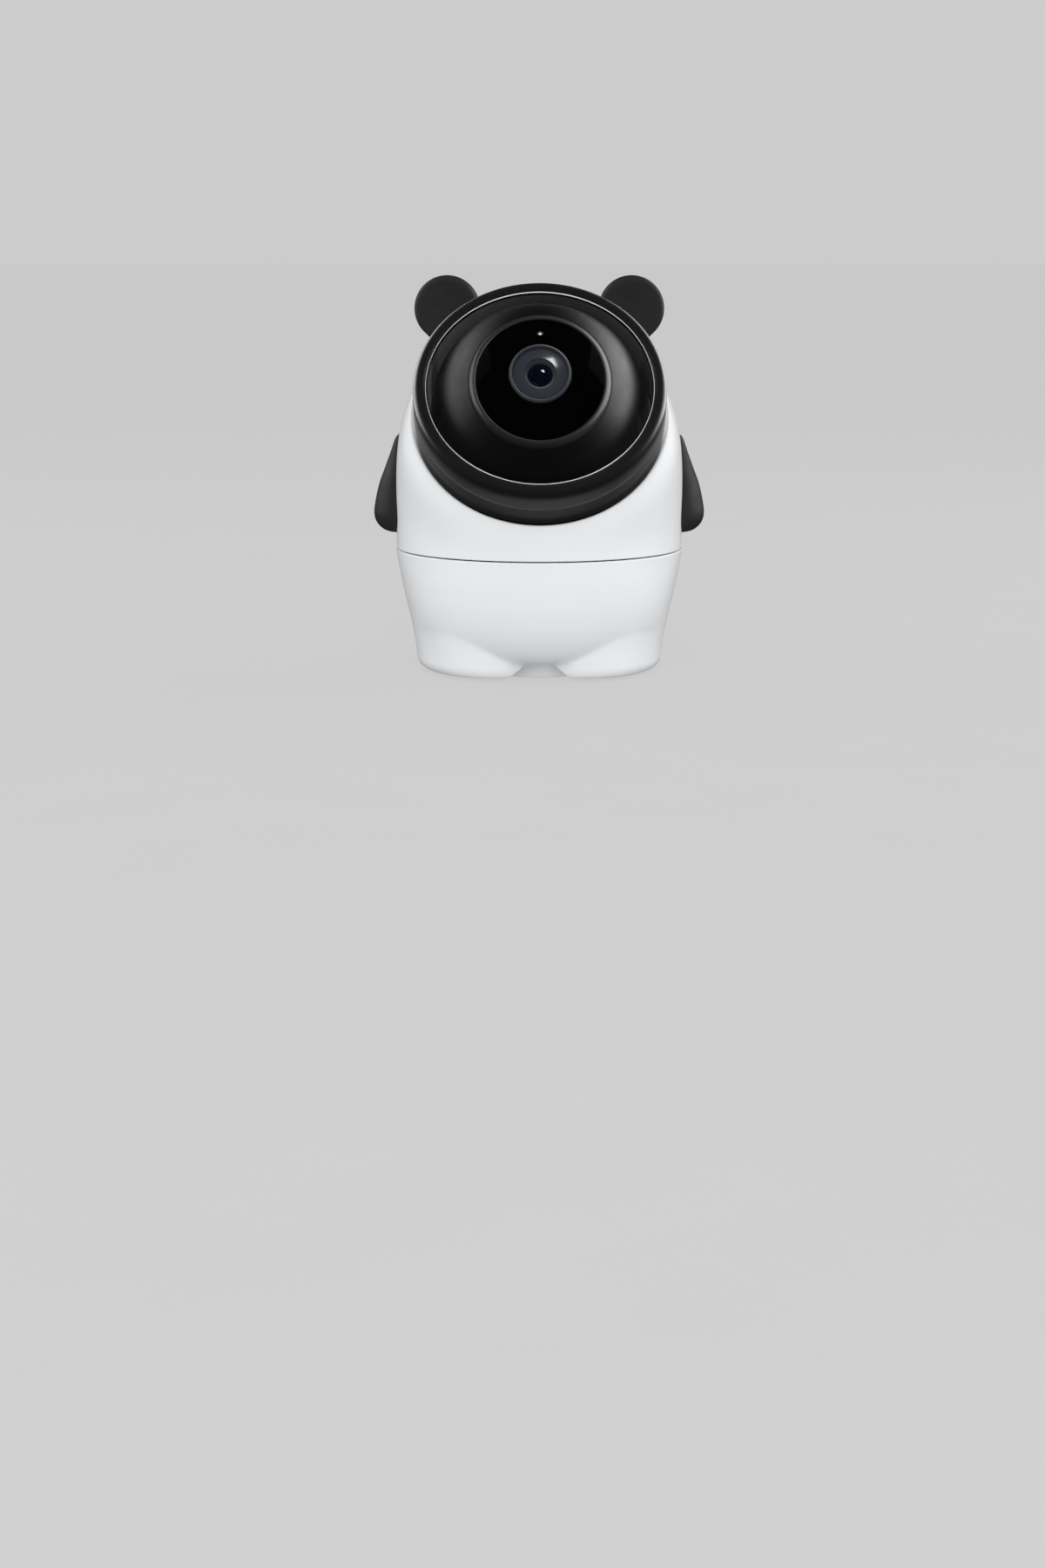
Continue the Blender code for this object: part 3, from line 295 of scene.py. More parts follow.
def turned(name, profile, to_world, sides=ROUND, scale=(1, 1), angle=SHARP):
    """A profile of (radius, z) points turned about local Z: a ring, or a solid where it meets the axis."""
    on_axis = profile[0][0] < 1e-6 or profile[-1][0] < 1e-6
    loops = []
    for radius, z in profile:
        radius = max(radius, 1e-5)
        loops.append(
            [
                (scale[0] * radius * cos(2 * pi * i / sides), scale[1] * radius * sin(2 * pi * i / sides), z)
                for i in range(sides)
            ]
        )
    return loops_object(name, loops, to_world, closed=not on_axis, caps=on_axis, angle=angle)


def fillet(points, radius, steps=5, ring=False):
    """A polyline with its corners rounded. ring rounds the ends too."""
    points = [Vector(p) for p in points]
    count = len(points)
    result = []
    for i, corner in enumerate(points):
        if not ring and i in (0, count - 1):
            result.append(tuple(corner))
            continue
        before, after = points[i - 1], points[(i + 1) % count]
        back, ahead = before - corner, after - corner
        reach = min(radius, 0.45 * back.length, 0.45 * ahead.length)
        start, end = corner + back.normalized() * reach, corner + ahead.normalized() * reach
        for k in range(steps + 1):
            t = k / steps
            result.append(tuple(start * (1 - t) ** 2 + corner * 2 * t * (1 - t) + end * t * t))
    return result


def curve_through(points, per=6):
    """Points on a Catmull-Rom curve through the given ones."""
    points = [Vector(p) for p in points]
    ends = [points[0] * 2 - points[1], *points, points[-1] * 2 - points[-2]]
    result = []
    for a, b, c, d in zip(ends, ends[1:], ends[2:], ends[3:]):
        for k in range(per):
            t = k / per
            square, cube = 2 * a - 5 * b + 4 * c - d, 3 * b - a - 3 * c + d
            result.append(tuple((2 * b + (c - a) * t + square * t**2 + cube * t**3) / 2))
    return [*result, tuple(points[-1])]


def sphere_arc(start, end, radius, steps):
    """(radius, z) points on a sphere between two heights along its axis."""
    high, low = acos(start / radius), acos(end / radius)
    angles = [high + (low - high) * i / steps for i in range(steps + 1)]
    return [(radius * sin(a), radius * cos(a)) for a in angles]


def rounded_rectangle(width, height, radius, steps=8):
    """A rectangle's outline about the origin, with round corners."""
    outline = []
    for quarter, (sx, sy) in enumerate(((1, 1), (-1, 1), (-1, -1), (1, -1))):
        for i in range(steps + 1):
            angle = pi / 2 * (quarter + i / steps)
            x = sx * (width / 2 - radius) + radius * cos(angle)
            y = sy * (height / 2 - radius) + radius * sin(angle)
            outline.append((x, y))
    return outline


def bar(name, outline, z0, z1, to_world, edge=0.0):
    """A flat outline from z0 to z1, with its edges eased."""
    rows = [(z0, 1.0), (z1, 1.0)]
    if edge:
        widest = max(hypot(x, y) for x, y in outline)
        small = 1 - edge / widest
        rows = [(z0, small), (z0 + edge, 1.0), (z1 - edge, 1.0), (z1, small)]
    loops = [[(x * s, y * s, z) for x, y in outline] for z, s in rows]
    return loops_object(name, loops, to_world, closed=False, caps=True)


def settle(obj, angle=SHARP):
    """Applies the object's modifiers to its mesh."""
    bpy.context.view_layer.update()
    evaluated = obj.evaluated_get(bpy.context.evaluated_depsgraph_get())
    mesh = bpy.data.meshes.new_from_object(evaluated)
    old = obj.data
    obj.modifiers.clear()
    obj.data = mesh
    bpy.data.meshes.remove(old)
    finish_mesh(obj, angle)


def cut(obj, *tools, operation="DIFFERENCE"):
    """Cuts with each tool, or joins it on, and removes the tool."""
    for tool in tools:
        modifier = obj.modifiers.new(tool.name, "BOOLEAN")
        modifier.operation = operation
        modifier.object = tool
    settle(obj)
    for tool in tools:
        bpy.data.objects.remove(tool)
    return obj


def piece(obj, body, material, replaces=()):
    """Gives a finished piece its material, its body and the CAD nodes that it stands for."""
    obj.data.materials.clear()
    obj.data.materials.append(material)
    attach(obj, body)
    if replaces:
        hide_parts(*replaces)
    return obj


# ---------------------------------------------------------------- outer shapes


def smooth_table(table):
    """A smooth curve through (position, value) points that doesn't overshoot them."""
    xs, ys = zip(*table)
    steps = [(y1 - y0) / (x1 - x0) for x0, x1, y0, y1 in zip(xs, xs[1:], ys, ys[1:])]
    inner = [0.0 if a * b <= 0 else 2 * a * b / (a + b) for a, b in zip(steps, steps[1:])]
    slopes = [steps[0], *inner, steps[-1]]

    def value(x):
        if x <= xs[0]:
            return ys[0]
        if x >= xs[-1]:
            return ys[-1]
        i = max(k for k in range(len(xs) - 1) if xs[k] <= x)
        width = xs[i + 1] - xs[i]
        t = (x - xs[i]) / width
        return (
            ys[i] * (1 + 2 * t) * (1 - t) ** 2
            + slopes[i] * width * t * (1 - t) ** 2
            + ys[i + 1] * t * t * (3 - 2 * t)
            + slopes[i + 1] * width * t * t * (t - 1)
        )

    return value


FOOT_EDGE_Z, ARCH_Z = 0.8, 4.6  # lowest points of the feet and of the arch between them
ROLL_TOP = 4.5  # the feet roll under below this height
ROLL_DEPTH, ROLL_LIMIT = 3.2, 0.96  # how far they roll in, and where the roll stops short of flat
CREASE = 0.45  # softness of the line where belly and feet meet
taper_radius = smooth_table(
    ((ROLL_TOP, 36.0), (8, 36.4), (12.5, 37.2), (18, 38.4), (24, 39.8), (30, 41.0), (BASE_TOP, BODY_RADIUS))
)
belly_radius = smooth_table(
    (
        (ARCH_Z, 27.0), (6, 30.4), (8, 33.3), (10, 35.2), (13, 37.3),
        (17, 39.2), (23, 40.9), (30, 41.8), (BASE_TOP, BODY_RADIUS),
    )
)
foot_reach = smooth_table(
    ((0, 0.5), (8, 0.62), (13, 0.77), (20, 0.885), (28, 0.955), (36, 0.992), (48, 1.008), (60, 1.0))
)


def ease(value, low, high):
    """0 below low, 1 above high, smooth between."""
    t = min(1, max(0, (value - low) / (high - low)))
    return t * t * (3 - 2 * t)


def base_point(theta, t):
    """A point on the base: the belly and the feet blended where they meet, t running upwards.

    The arch, between the feet, and the sides are set by the angle from the front in degrees.
    """
    angle = degrees(acos(max(-1, min(1, -sin(theta)))))
    low = FOOT_EDGE_Z + (ARCH_Z - FOOT_EDGE_Z) * (1 - ease(angle, 7, 19))
    z = low + (BASE_TOP - low) * t
    foot = taper_radius(max(z, ROLL_TOP)) * foot_reach(angle)
    if z < ROLL_TOP:
        drop = (ROLL_TOP - z) / (ROLL_TOP - FOOT_EDGE_Z)
        foot -= ROLL_DEPTH * (1 - sqrt(max(0, 1 - ROLL_LIMIT * drop**2)))
    belly = belly_radius(max(z, ARCH_Z))
    belly += (foot - belly) * ease(angle, 50, 85)
    radius = (foot + belly + hypot(foot - belly, CREASE)) / 2
    return Vector((radius * cos(theta), radius * sin(theta), z))


def head_point(theta, t, proud=0.0):
    """A point on the head: t runs from the round seam to the tilted rim behind the visor.

    Each line is a cubic curve. rise and arrive are its handles at the two ends.
    """
    s, c = sin(theta), cos(theta)
    seam = Vector(((BODY_RADIUS + proud) * c, (BODY_RADIUS + proud) * s, HEAD_BOTTOM))
    rim = RIM_CENTRE + (RIM_RADIUS + proud) * (Vector((c, 0, 0)) + RING_UP * s)
    rise = Vector((0, 0, 25 + 20.8 * s - 0.8 * s * s))
    arrive = Vector((-5.5 * c, -6 * (1 + s) ** 2, 6.2 - 0.65 * s - 3.55 * s * s))
    a, b, d, e = seam, seam + rise, rim - arrive, rim
    u = 1 - t
    return a * u**3 + 3 * b * u * u * t + 3 * d * u * t * t + e * t**3


LIP_STEPS = 6  # rings on the rounded edge of a shell


def walled(name, surface, rows, low_edge, high_edge, inner_rows=24, samples=180):
    """A thick shell from surface(theta, t), with rounded edges at both ends."""
    outer, inner, low_lip, high_lip = [], [], [], []
    columns = []
    for i in range(ROUND):
        theta = 2 * pi * i / ROUND
        line = [surface(theta, k / samples) for k in range(samples + 1)]
        run = [0.0]
        for p, q in zip(line, line[1:]):
            run.append(run[-1] + (q - p).length)
        start, end = low_edge, run[-1] - high_edge
        column, k = [], 0
        for row in range(rows + 1):
            want = start + (end - start) * row / rows
            while k < samples - 1 and run[k + 1] < want:
                k += 1
            t = (want - run[k]) / (run[k + 1] - run[k])
            column.append(line[k].lerp(line[k + 1], t))
        columns.append(column)
    for row in range(rows + 1):
        outer.append([columns[i][row] for i in range(ROUND)])

    def frame_at(row, i):
        across = columns[(i + 1) % ROUND][row] - columns[i - 1][row]
        along = columns[i][min(row + 1, rows)] - columns[i][max(row - 1, 0)]
        return across.cross(along).normalized(), along.normalized()

    for edge, row, sign, lip in ((high_edge, rows, 1, high_lip), (low_edge, 0, -1, low_lip)):
        for k in range(1, LIP_STEPS + 1):
            turn = pi / 2 * k / LIP_STEPS
            ring = []
            for i in range(ROUND):
                normal, along = frame_at(row, i)
                centre = columns[i][row] - normal * edge
                ring.append(centre + normal * (edge * cos(turn)) + along * (sign * edge * sin(turn)))
            lip.append(ring)
    for k in range(inner_rows, -1, -1):
        row = round(rows * k / inner_rows)
        inner.append([columns[i][row] - frame_at(row, i)[0] * WALL for i in range(ROUND)])
    return loops_object(name, outer + high_lip + inner + low_lip[::-1], angle=50)


def head_envelope(proud, rows=40, reach=12.0):
    """The closed outer shape of head and visor, which cuts the pieces that sit on it."""
    turns = [2 * pi * i / ROUND for i in range(ROUND)]
    loops = [[head_point(theta, row / rows, proud) for theta in turns] for row in range(rows + 1)]
    loops.append([point + RING_AXIS * reach for point in loops[-1]])
    return loops_object("envelope", loops, closed=False, caps=True)


# ---------------------------------------------------------------- base


def back_facing(centre, turn=0.0):
    """Local Z looks out of the back, turned about the pan axis towards +X."""
    return (
        Matrix.Translation(PAN)
        @ Matrix.Scale(MM, 4)
        @ Matrix.Rotation(radians(-turn), 4, "Z")
        @ Matrix.Translation(Vector(centre))
        @ Matrix.Rotation(radians(-90), 4, "X")
    )


def build_base():
    """The base's shell, with the holes for the socket and the button."""
    base = walled("body_base", base_point, 84, 0.5, 0.35)
    socket = bar("socket_hole", rounded_rectangle(10.6, 4.8, 2.2), 32, 45, back_facing((0, 0, INLET_Z)))
    hole = [(0, 45), (3.0, 45), (3.0, 30), (0, 30)]
    button = turned("button_hole", hole, back_facing((0, 0, INLET_Z), BUTTON_ANGLE), 64)
    cut(base, socket, button)
    piece(base, "base", WHITE, ["base_shell"])


def build_foot():
    """The ring-shaped rubber pad, with grooves in its underside."""
    profile = [(20.5, 4.5), (20.5, 0.6), (20.1, 0.0)]
    for groove in (18.6, 16.4, 14.2, 12.0):
        profile += [(groove + 0.55, 0.0), (groove + 0.25, 0.5), (groove - 0.25, 0.5), (groove - 0.55, 0.0)]
    profile += [(8.9, 0.0), (8.5, 0.6), (8.5, 4.5)]
    foot = turned("foot_ring", fillet(profile, 0.25, 3, ring=True), UPRIGHT, 160)
    piece(foot, "base", RUBBER, ["foot_pad"])


def build_thread():
    """The tripod insert, with the turns of its thread inside."""
    bore = []
    z, pitch = 7.0, 0.62
    while z > 1.4:
        bore += [(3.1, z), (3.45, z - 0.3)]
        z -= pitch
    outside = [(4.5, 7.1), (4.5, 5.2), (4.1, 4.9), (4.1, 4.1), (4.5, 3.8), (4.5, 0.9), (4.35, 0.7)]
    outside += [(3.5, 0.7), (3.15, 1.1)]
    insert = turned("tripod_thread", outside + bore[::-1], UPRIGHT, 96)
    piece(insert, "base", BRASS, ["tripod_insert"])


def build_screws():
    """Cross-head screws under the base."""
    profile = fillet(
        [(0, 3.3), (1.2, 3.3), (1.9, 3.85), (1.9, 4.5), (0.85, 4.5), (0.85, 13.2), (0, 14.0)], 0.3, 4
    )
    arm = [(-1.05, -0.17), (1.05, -0.17), (1.05, 0.17), (-1.05, 0.17)]
    for number, (x, y) in enumerate(SCREW_SPOTS, 1):
        at = pose((x, y, 0))
        screw = turned(f"base_screw_{number}", profile, at, 48)
        arms = []
        for turn in (0, 90):
            about = Matrix.Rotation(radians(turn + 20 * number), 4, "Z")
            arms.append(bar(f"recess_{turn}", arm, 3.0, 3.95, at @ about))
        cut(screw, *arms)
        piece(screw, "base", STEEL, [f"bottom_screw_{number}"])


CONTACTS, CONTACT_PITCH = 12, 0.5


def build_socket():
    """USB-C socket: a rolled sleeve, the tongue in it and its contacts."""
    at = back_facing((0, 0, INLET_Z))
    sleeve = bar("power_socket", rounded_rectangle(9.0, 3.4, 1.65), 29.1, 35.4, at, edge=0.12)
    cavity = bar("cavity", rounded_rectangle(8.4, 2.8, 1.35), 30.1, 36.4, at)
    cut(sleeve, cavity)
    piece(sleeve, "base", STEEL, ["power_inlet"])
    tongue = bar("socket_tongue", rounded_rectangle(6.6, 0.7, 0.2, 3), 29.6, 34.8, at, edge=0.05)
    piece(tongue, "base", CHIP_BLACK)
    outline = [(-0.13, -0.03), (0.13, -0.03), (0.13, 0.03), (-0.13, 0.03)]
    for side, name in ((1, "upper"), (-1, "lower")):
        contacts = None
        for i in range(CONTACTS):
            shift = Matrix.Translation(((i - (CONTACTS - 1) / 2) * CONTACT_PITCH, side * 0.37, 0))
            strip = bar(f"socket_contacts_{name}", outline, 30.4, 34.5, at @ shift)
            if contacts is None:
                contacts = strip
            else:
                append_mesh(contacts, strip)
        piece(contacts, "base", GOLD)


def append_mesh(obj, other):
    """Adds another object's faces to obj and removes the other object."""
    bm = bmesh.new()
    bm.from_mesh(obj.data)
    bm.from_mesh(other.data)
    bm.to_mesh(obj.data)
    bm.free()
    bpy.data.objects.remove(other)


def build_button():
    """The pairing button, with the collar that keeps it in."""
    profile = fillet([(0, 37.75), (1.2, 37.8), (1.5, 38.0), (2.1, 37.95), (2.6, 37.3), (2.6, 34.2)], 0.25, 4)
    profile += [(3.7, 34.2), (3.7, 33.1), (1.2, 33.1), (1.2, 30.9), (0, 30.9)]
    button = turned("pair_key", profile, back_facing((0, 0, INLET_Z), BUTTON_ANGLE), 96)
    piece(button, "pair_button", WHITE, ["pair_button"])


# ---------------------------------------------------------------- head


SLOT_LENGTHS = (22, 19, 12)  # from the middle slot outwards
SLOT_PITCH = 4.2


def build_head():
    """The head's shell, with the speaker slots in its back and the cloth behind them."""
    head = walled("head_dome", head_point, 96, 0.35, 0.75)
    slots = []
    for i in range(-2, 3):
        outline = rounded_rectangle(SLOT_LENGTHS[abs(i)], 1.8, 0.89)
        slots.append(bar(f"slot_{i}", outline, 33, 47, back_facing((0, 0, GRILLE_Z + SLOT_PITCH * i))))
    cut(head, *slots)
    piece(head, "head", WHITE, ["head_shell"])
    at = back_facing((0, 0, GRILLE_Z))
    cloth = bar("grille_cloth", rounded_rectangle(25, 21.5, 5.5), 35.4, 35.9, at, edge=0.1)
    piece(cloth, "head", GRILLE_CLOTH)


EAR_LEAN = 6.0
EAR_ROOT = Vector((-3.6, 0.5, -6.2))  # from the ear's centre to the end of its root, on the +X side
ROOT_SIZES = ((0, 1), (0.25, 0.95), (0.5, 0.9), (0.75, 0.85), (1, 0.8))  # way along it, size


def build_ears_and_arms():
    """Dished ears on their roots, and drop-shaped arms, all seated on the shell."""
    profile = curve_through(
        [(0, 1.9), (2.5, 2.0), (5.2, 2.6), (7.3, 3.4), (8.4, 3.5), (9.3, 2.6), (9.6, 0.9), (9.4, -1.2)]
        + [(8.2, -3.0), (6.0, -3.9), (3.0, -4.15), (0, -4.2)]
    )
    drop = curve_through(
        [(0, 69.4), (1.4, 68.0), (2.9, 63.8), (4.6, 59.2), (6.2, 54.8), (7.4, 49.7), (7.8, 45.8), (6.9, 43.0)]
        + [(4.4, 40.9), (0, 40.0)],
        8,
    )
    for side, name in ((-1, "left"), (1, "right")):
        parts = []
        for way, size in ROOT_SIZES:
            x, y, z = EAR_CENTRE + EAR_ROOT * way
            smaller = [(radius * size, height * size) for radius, height in profile]
            at = pose((side * x, y, z), EAR_LEAN, side * EAR_LEAN)
            parts.append(turned(f"ear_{name}_{size}", smaller, at, 96))
        ear, *root = parts
        ear.name = f"panda_ear_{name}"
        cut(ear, *root, operation="UNION")
        remesh = ear.modifiers.new("remesh", "REMESH")
        remesh.mode = "VOXEL"
        remesh.voxel_size = 0.28 * MM
        relax = ear.modifiers.new("relax", "SMOOTH")
        relax.factor = 0.5
        relax.iterations = 16
        settle(ear)
        cut(ear, head_envelope(0.12))
        piece(ear, "head", EAR_GREY, [f"ear_{name}"])
        arm = turned(f"panda_arm_{name}", drop, pose((side * ARM_X, ARM_Y, 0)), 128, scale=(1, 1.3))
        cut(arm, head_envelope(0.1))
        piece(arm, "head", EAR_GREY, [f"arm_{name}"])


def build_visor():
    """The black ring with a groove round it, the wall inside it (grey rather than black, so the ball's edge shows
    a painted reflection of it) and a silver line on its inner edge that stands in for the highlight on the black
    edge.
    """
    back = -RING_DEPTH + 0.3
    front = curve_through(
        [(32.5, 0.08), (33.2, 0.45), (34.2, 0.6), (35.2, 0.3), (35.8, -0.6), (36.05, -2.2)]
        + [(36.05, -5.0), (36.0, -7.5)],
        5,
    )
    flare = curve_through([(35.75, -7.95), (35.85, -10.0), (36.05, -12.2), (36.35, -13.5), (36.6, back)], 5)
    inside = [(34.6, back), (34.5, -18.5), (32.9, -18.5), (32.5, -2.2), (32.5, -0.2)]
    ring = turned("visor_ring", front + flare + fillet(inside, 0.2, 4), VISOR)
    piece(ring, "head", VISOR_BLACK, ["face_ring"])
    liner = [(32.45, -0.75), (32.45, -2.2), (32.85, -18.2), (32.6, -18.2), (32.05, -2.2), (31.95, -0.75)]
    # The wall inside the ring is grey, not black: painted reflection for the ball's edge.
    piece(turned("visor_liner", liner, VISOR), "head", LINER_PAINTED_REFLECTION_GREY)
    # A silver ring on the inner edge stands in for the highlight on the black lip: painted highlight.
    lip = fillet([(31.9, -0.7), (31.9, -0.02), (32.46, 0.09), (32.48, -0.7)], 0.06, 3, ring=True)
    piece(turned("visor_lip", lip, VISOR), "head", LIP_PAINTED_HIGHLIGHT_SILVER)


# ---------------------------------------------------------------- camera ball


def build_ball():
    """The two halves of the ball, with a fine joint between them and a seat for the window."""
    edge, gap = BEZEL_RADIUS + 0.06, 0.08
    seat = sqrt(BALL_RADIUS**2 - edge**2)
    ledge = [(20.6, 16.8), (20.6, 18.8), (edge, seat - 2.6), (edge, seat - 0.12)]
    lip = [(edge + 0.03, seat - 0.03)]
    outside = sphere_arc(seat - gap, BALL_SPLIT + gap, BALL_RADIUS, 48)
    inside = sphere_arc(16.8, BALL_SPLIT + gap, BALL_RADIUS - WALL, 16)
    front = turned("eyeball_front", lip + outside + inside[::-1] + ledge, BALL)
    piece(front, "camera_ball", BALL_BLACK, ["ball_front"])
    outside = sphere_arc(BALL_SPLIT - gap, -BALL_REAR_CUT, BALL_RADIUS, 14)
    inside = sphere_arc(BALL_SPLIT - gap, -BALL_REAR_CUT, BALL_RADIUS - WALL, 8)
    rear = turned("eyeball_back", outside + inside[::-1], BALL)
    piece(rear, "camera_ball", BALL_BLACK, ["ball_rear"])


def build_window():
    """The black window and the raised trim round it."""
    outside, inside = (
        sphere_arc(sqrt(radius**2 - WINDOW_HOLE**2), sqrt(radius**2 - WINDOW_RADIUS**2), radius, 24)
        for radius in (BALL_RADIUS - 0.2, BALL_RADIUS - 1.8)
    )
    window = turned("front_window", outside + inside[::-1], BALL)
    piece(window, "camera_ball", WINDOW_GLOSS, ["window"])
    crown = curve_through(
        [(18.1, 25.3), (18.45, 25.5), (19.1, 25.25), (19.7, 24.65), (20.05, 23.95), (20.1, 23.6)], 5
    )
    trim = turned("window_trim", crown + [(20.1, 20.7), (18.1, 20.7)], BALL)
    piece(trim, "camera_ball", VISOR_BLACK, ["window_bezel"])


def build_lens():
    """The lens, from its ring inwards, and the light sensor above it. BALL's Z is the lens axis."""
    rim = [(7.75, 29.9), (8.0, 30.4), (8.45, 30.3), (8.75, 29.8), (8.75, 27.0), (7.75, 27.0)]
    ring = turned("lens_ring", fillet(rim, 0.25, 5, ring=True), BALL, 192)
    piece(ring, "camera_ball", LENS_GREY, ["lens_barrel"])
    peak, bow = 30.3, 20  # top of the convex element and its radius of curvature
    radii = [7.7 - 0.32 * k for k in range(11)]
    crown = [(radius, peak - radius**2 / (2 * bow)) for radius in radii]
    baffle = crown + [(4.42, 29.4), (4.42, 26.0), (7.7, 26.0)]
    piece(turned("lens_baffle", baffle, BALL, 160), "camera_ball", LENS_BLUE)
    dish = curve_through([(4.4, 29.45), (4.1, 29.1), (3.75, 28.7), (3.45, 28.25)], 5)
    retainer = dish + [(3.45, 26.0), (4.4, 26.0)]
    piece(turned("inner_retainer", retainer, BALL, 160), "camera_ball", LENS_GREY)
    dome = curve_through([(0, 29.35), (1.2, 29.22), (2.4, 28.8), (3.4, 28.1)], 8)
    element = turned("front_element", dome + [(3.4, 26.2), (0, 26.2)], BALL, 128)
    piece(element, "camera_ball", IRIS_DARK, ["lens_front_glass"])
    at = BALL @ Matrix.Translation((0, SENSOR_RISE, 0))
    eye = fillet([(0, 28.85), (0.35, 28.8), (0.52, 28.65), (0.52, 24.0), (0, 24.0)], 0.15, 4)
    hood = fillet([(0.58, 28.75), (0.95, 28.6), (0.95, 27.2), (0.58, 27.2)], 0.08, 3, ring=True)
    piece(turned("light_eye", eye, at, 48), "camera_ball", SENSOR_EPOXY, ["light_sensor"])
    piece(turned("light_eye_collar", hood, at, 48), "camera_ball", CHIP_BLACK)


# ---------------------------------------------------------------- CAD pieces that stay

KEPT = {
    "white_shell": WHITE,
    "inner_plastic": INNER_GREY,
    "gear_plastic": ACETAL,
    "steel": STEEL,
    "brass": BRASS,
    "circuit_board": BOARD,
    "chip_black": CHIP_BLACK,
    "rubber": RUBBER,
    "cable_jacket": CABLE,
    "led_epoxy": SENSOR_EPOXY,
    "black_satin": VISOR_BLACK,
    "ear_and_arm_grey": EAR_GREY,
    "window_black": WINDOW_GLOSS,
    "lens_grey": LENS_GREY,
    "lens_glass": IRIS_DARK,
}


def finish_kept_nodes():
    """Gives each CAD node the procedural material of its slot."""
    slots = {row["node"]: row["material_slot"] for row in frame["record"]["subparts"]}
    for name, node in frame["nodes"].items():
        node.data.materials.clear()
        node.data.materials.append(KEPT[slots[name]])


# ---------------------------------------------------------------- stage, lights and camera


FLOOR_REACH = 9.0
FLOOR_GLOW = 0.535  # lifts the floor to the tone of the backdrop
WORLD_GREY = 0.604


def build_stage():
    """A pale floor that the gloss doesn't pick up."""
    nodes = Nodes("pale_floor")
    grain = nodes.spread(nodes.noise(30, 3.0), 0.0, 1.0)
    nodes.join(nodes.blend(grain, (0.078, 0.078, 0.078, 1), (0.082, 0.082, 0.082, 1)), "Base Color")
    nodes.set(Roughness=0.9, Specular_IOR_Level=0.0)
    nodes.set(Emission_Color=(1, 1, 1, 1), Emission_Strength=FLOOR_GLOW)
    mesh = bpy.data.meshes.new("floor")
    corners = [(FLOOR_REACH * x, FLOOR_REACH * y, 0) for x, y in ((-1, -1), (1, -1), (1, 1), (-1, 1))]
    mesh.from_pydata(corners, [], [(0, 1, 2, 3)])
    mesh.materials.append(nodes.material)
    floor = bpy.data.objects.new("floor", mesh)
    floor.visible_glossy = floor.visible_transmission = False
    bpy.context.scene.collection.objects.link(floor)


AIM = Vector((0, 0, 0.08))  # the middle of the visor, which the lights face


def softbox(name, azimuth, elevation, distance, size, radiance, in_gloss=True, only=()):
    """An area light that faces the object. Azimuth is from the front, towards +X.

    in_gloss says whether it shows in reflections. only names the pieces that it lights, past anything
    in front of them.
    """
    light = bpy.data.lights.new(name, "AREA")
    light.shape = "RECTANGLE"
    light.size, light.size_y = size
    light.energy = radiance * pi * size[0] * size[1]
    obj = bpy.data.objects.new(name, light)
    a, e = radians(azimuth), radians(elevation)
    away = Vector((sin(a) * cos(e), -cos(a) * cos(e), sin(e)))
    obj.location = AIM + away * distance
    obj.rotation_euler = away.to_track_quat("Z", "Y").to_euler()
    obj.visible_glossy = obj.visible_transmission = in_gloss
    bpy.context.scene.collection.objects.link(obj)
    if only:
        lit, blockers = (bpy.data.collections.new(f"{name}_{use}") for use in ("lit", "blockers"))
        for target in only:
            lit.objects.link(bpy.data.objects[target])
        blockers.objects.link(bpy.data.objects["floor"])
        obj.light_linking.receiver_collection = lit
        obj.light_linking.blocker_collection = blockers


# Pieces that have lights of their own
SHELLS = ("body_base", "head_dome")
BALL_FACE = ("visor_liner", "eyeball_front")
LENS = ("lens_ring", "lens_baffle", "front_element")


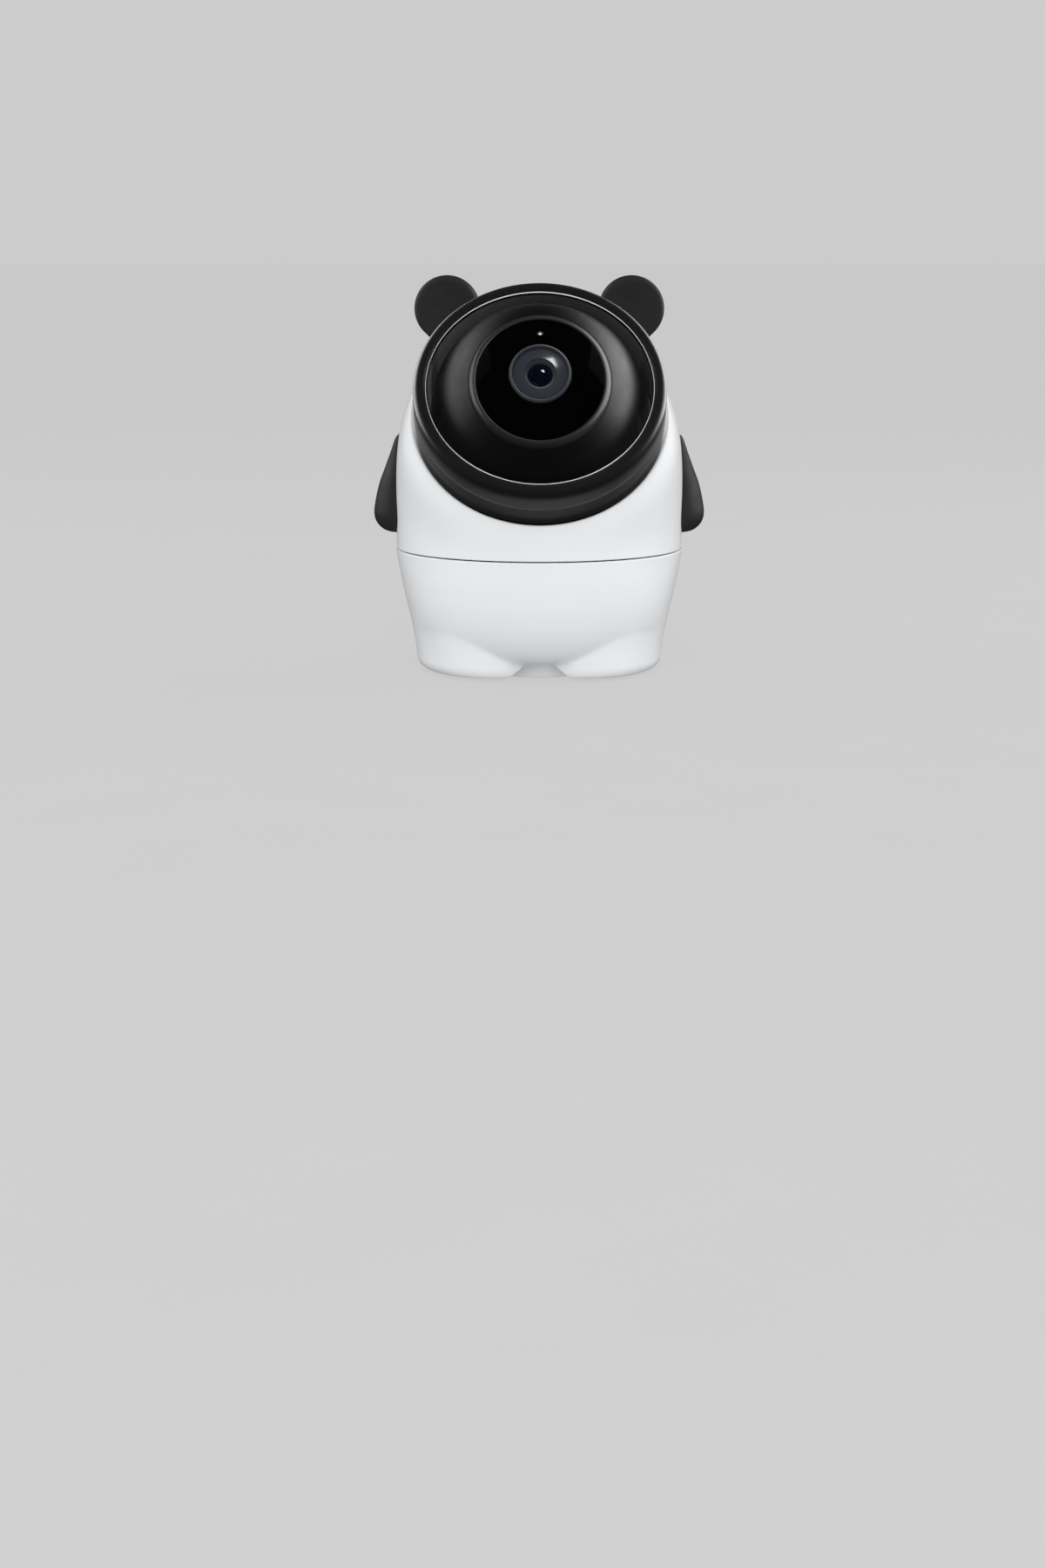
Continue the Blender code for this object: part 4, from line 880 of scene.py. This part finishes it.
def build_lights():
    """A grey surround and two side boxes for all, soft fills, and lights that shape the black parts."""
    world = bpy.data.worlds.new("studio")
    world.use_nodes = True
    background = world.node_tree.nodes["Background"]
    background.inputs["Color"].default_value = (WORLD_GREY, WORLD_GREY, WORLD_GREY, 1)
    bpy.context.scene.world = world
    world.cycles_visibility.glossy = world.cycles_visibility.transmission = False
    softbox("side_left", -108, 24, 0.75, (0.85, 0.75), 0.85)
    softbox("side_right", 108, 24, 0.75, (0.85, 0.75), 1.3)
    softbox("front_fill", 0, 30, 1.3, (1.2, 0.8), 2.5, in_gloss=False)
    softbox("under_fill", 0, 4, 1.3, (1.2, 0.3), 2.2, in_gloss=False)
    softbox("shell_left", -100, 8, 0.8, (0.8, 0.6), 0.4, in_gloss=False, only=SHELLS)
    softbox("shell_right", 100, 8, 0.8, (0.8, 0.6), 0.6, in_gloss=False, only=SHELLS)
    softbox("ring_left", -120, 22, 0.75, (0.9, 0.9), 4.6, only=("visor_ring",))
    softbox("ring_right", 120, 22, 0.75, (0.9, 0.9), 6.0, only=("visor_ring",))
    softbox("ball_left", -122, 12, 0.38, (0.75, 0.34), 0.85, only=BALL_FACE)
    softbox("ball_right", 118, 12, 0.38, (0.75, 0.34), 2.6, only=BALL_FACE)
    softbox("trim_left", -80, 20, 0.9, (0.8, 0.8), 4.0, only=("window_trim",))
    softbox("trim_right", 80, 28, 0.9, (1.2, 1.5), 8.0, only=("window_trim",))
    softbox("lip_strip", 0, 74, 0.8, (0.2, 0.7), 2.6, only=("visor_lip",))
    softbox("lens_spark", 28, 62, 0.9, (0.24, 0.24), 17.0, only=LENS)
    softbox("retainer_glow", 180, 66, 0.9, (0.6, 0.6), 12.0, only=("inner_retainer",))


CAMERA_AT = Vector((-4.917, -900.0, 130.59))
CAMERA_DOWN = 10.44  # degrees below level
FOCAL_LENGTH, SENSOR_WIDTH = 70.03, 36.0


def build_camera():
    data = bpy.data.cameras.new("camera")
    data.lens = FOCAL_LENGTH
    data.sensor_width = SENSOR_WIDTH
    camera = bpy.data.objects.new("camera", data)
    camera.location = CAMERA_AT * MM + PAN
    camera.rotation_euler = (radians(90 - CAMERA_DOWN), 0, 0)
    bpy.context.scene.collection.objects.link(camera)
    bpy.context.scene.camera = camera


# ---------------------------------------------------------------- the scene

for build in (build_base, build_foot, build_thread, build_screws, build_socket, build_button):
    build()
for build in (build_head, build_ears_and_arms, build_visor, build_ball, build_window, build_lens):
    build()
finish_kept_nodes()
build_stage()
build_lights()
build_camera()
bpy.context.scene.view_settings.view_transform = "Standard"
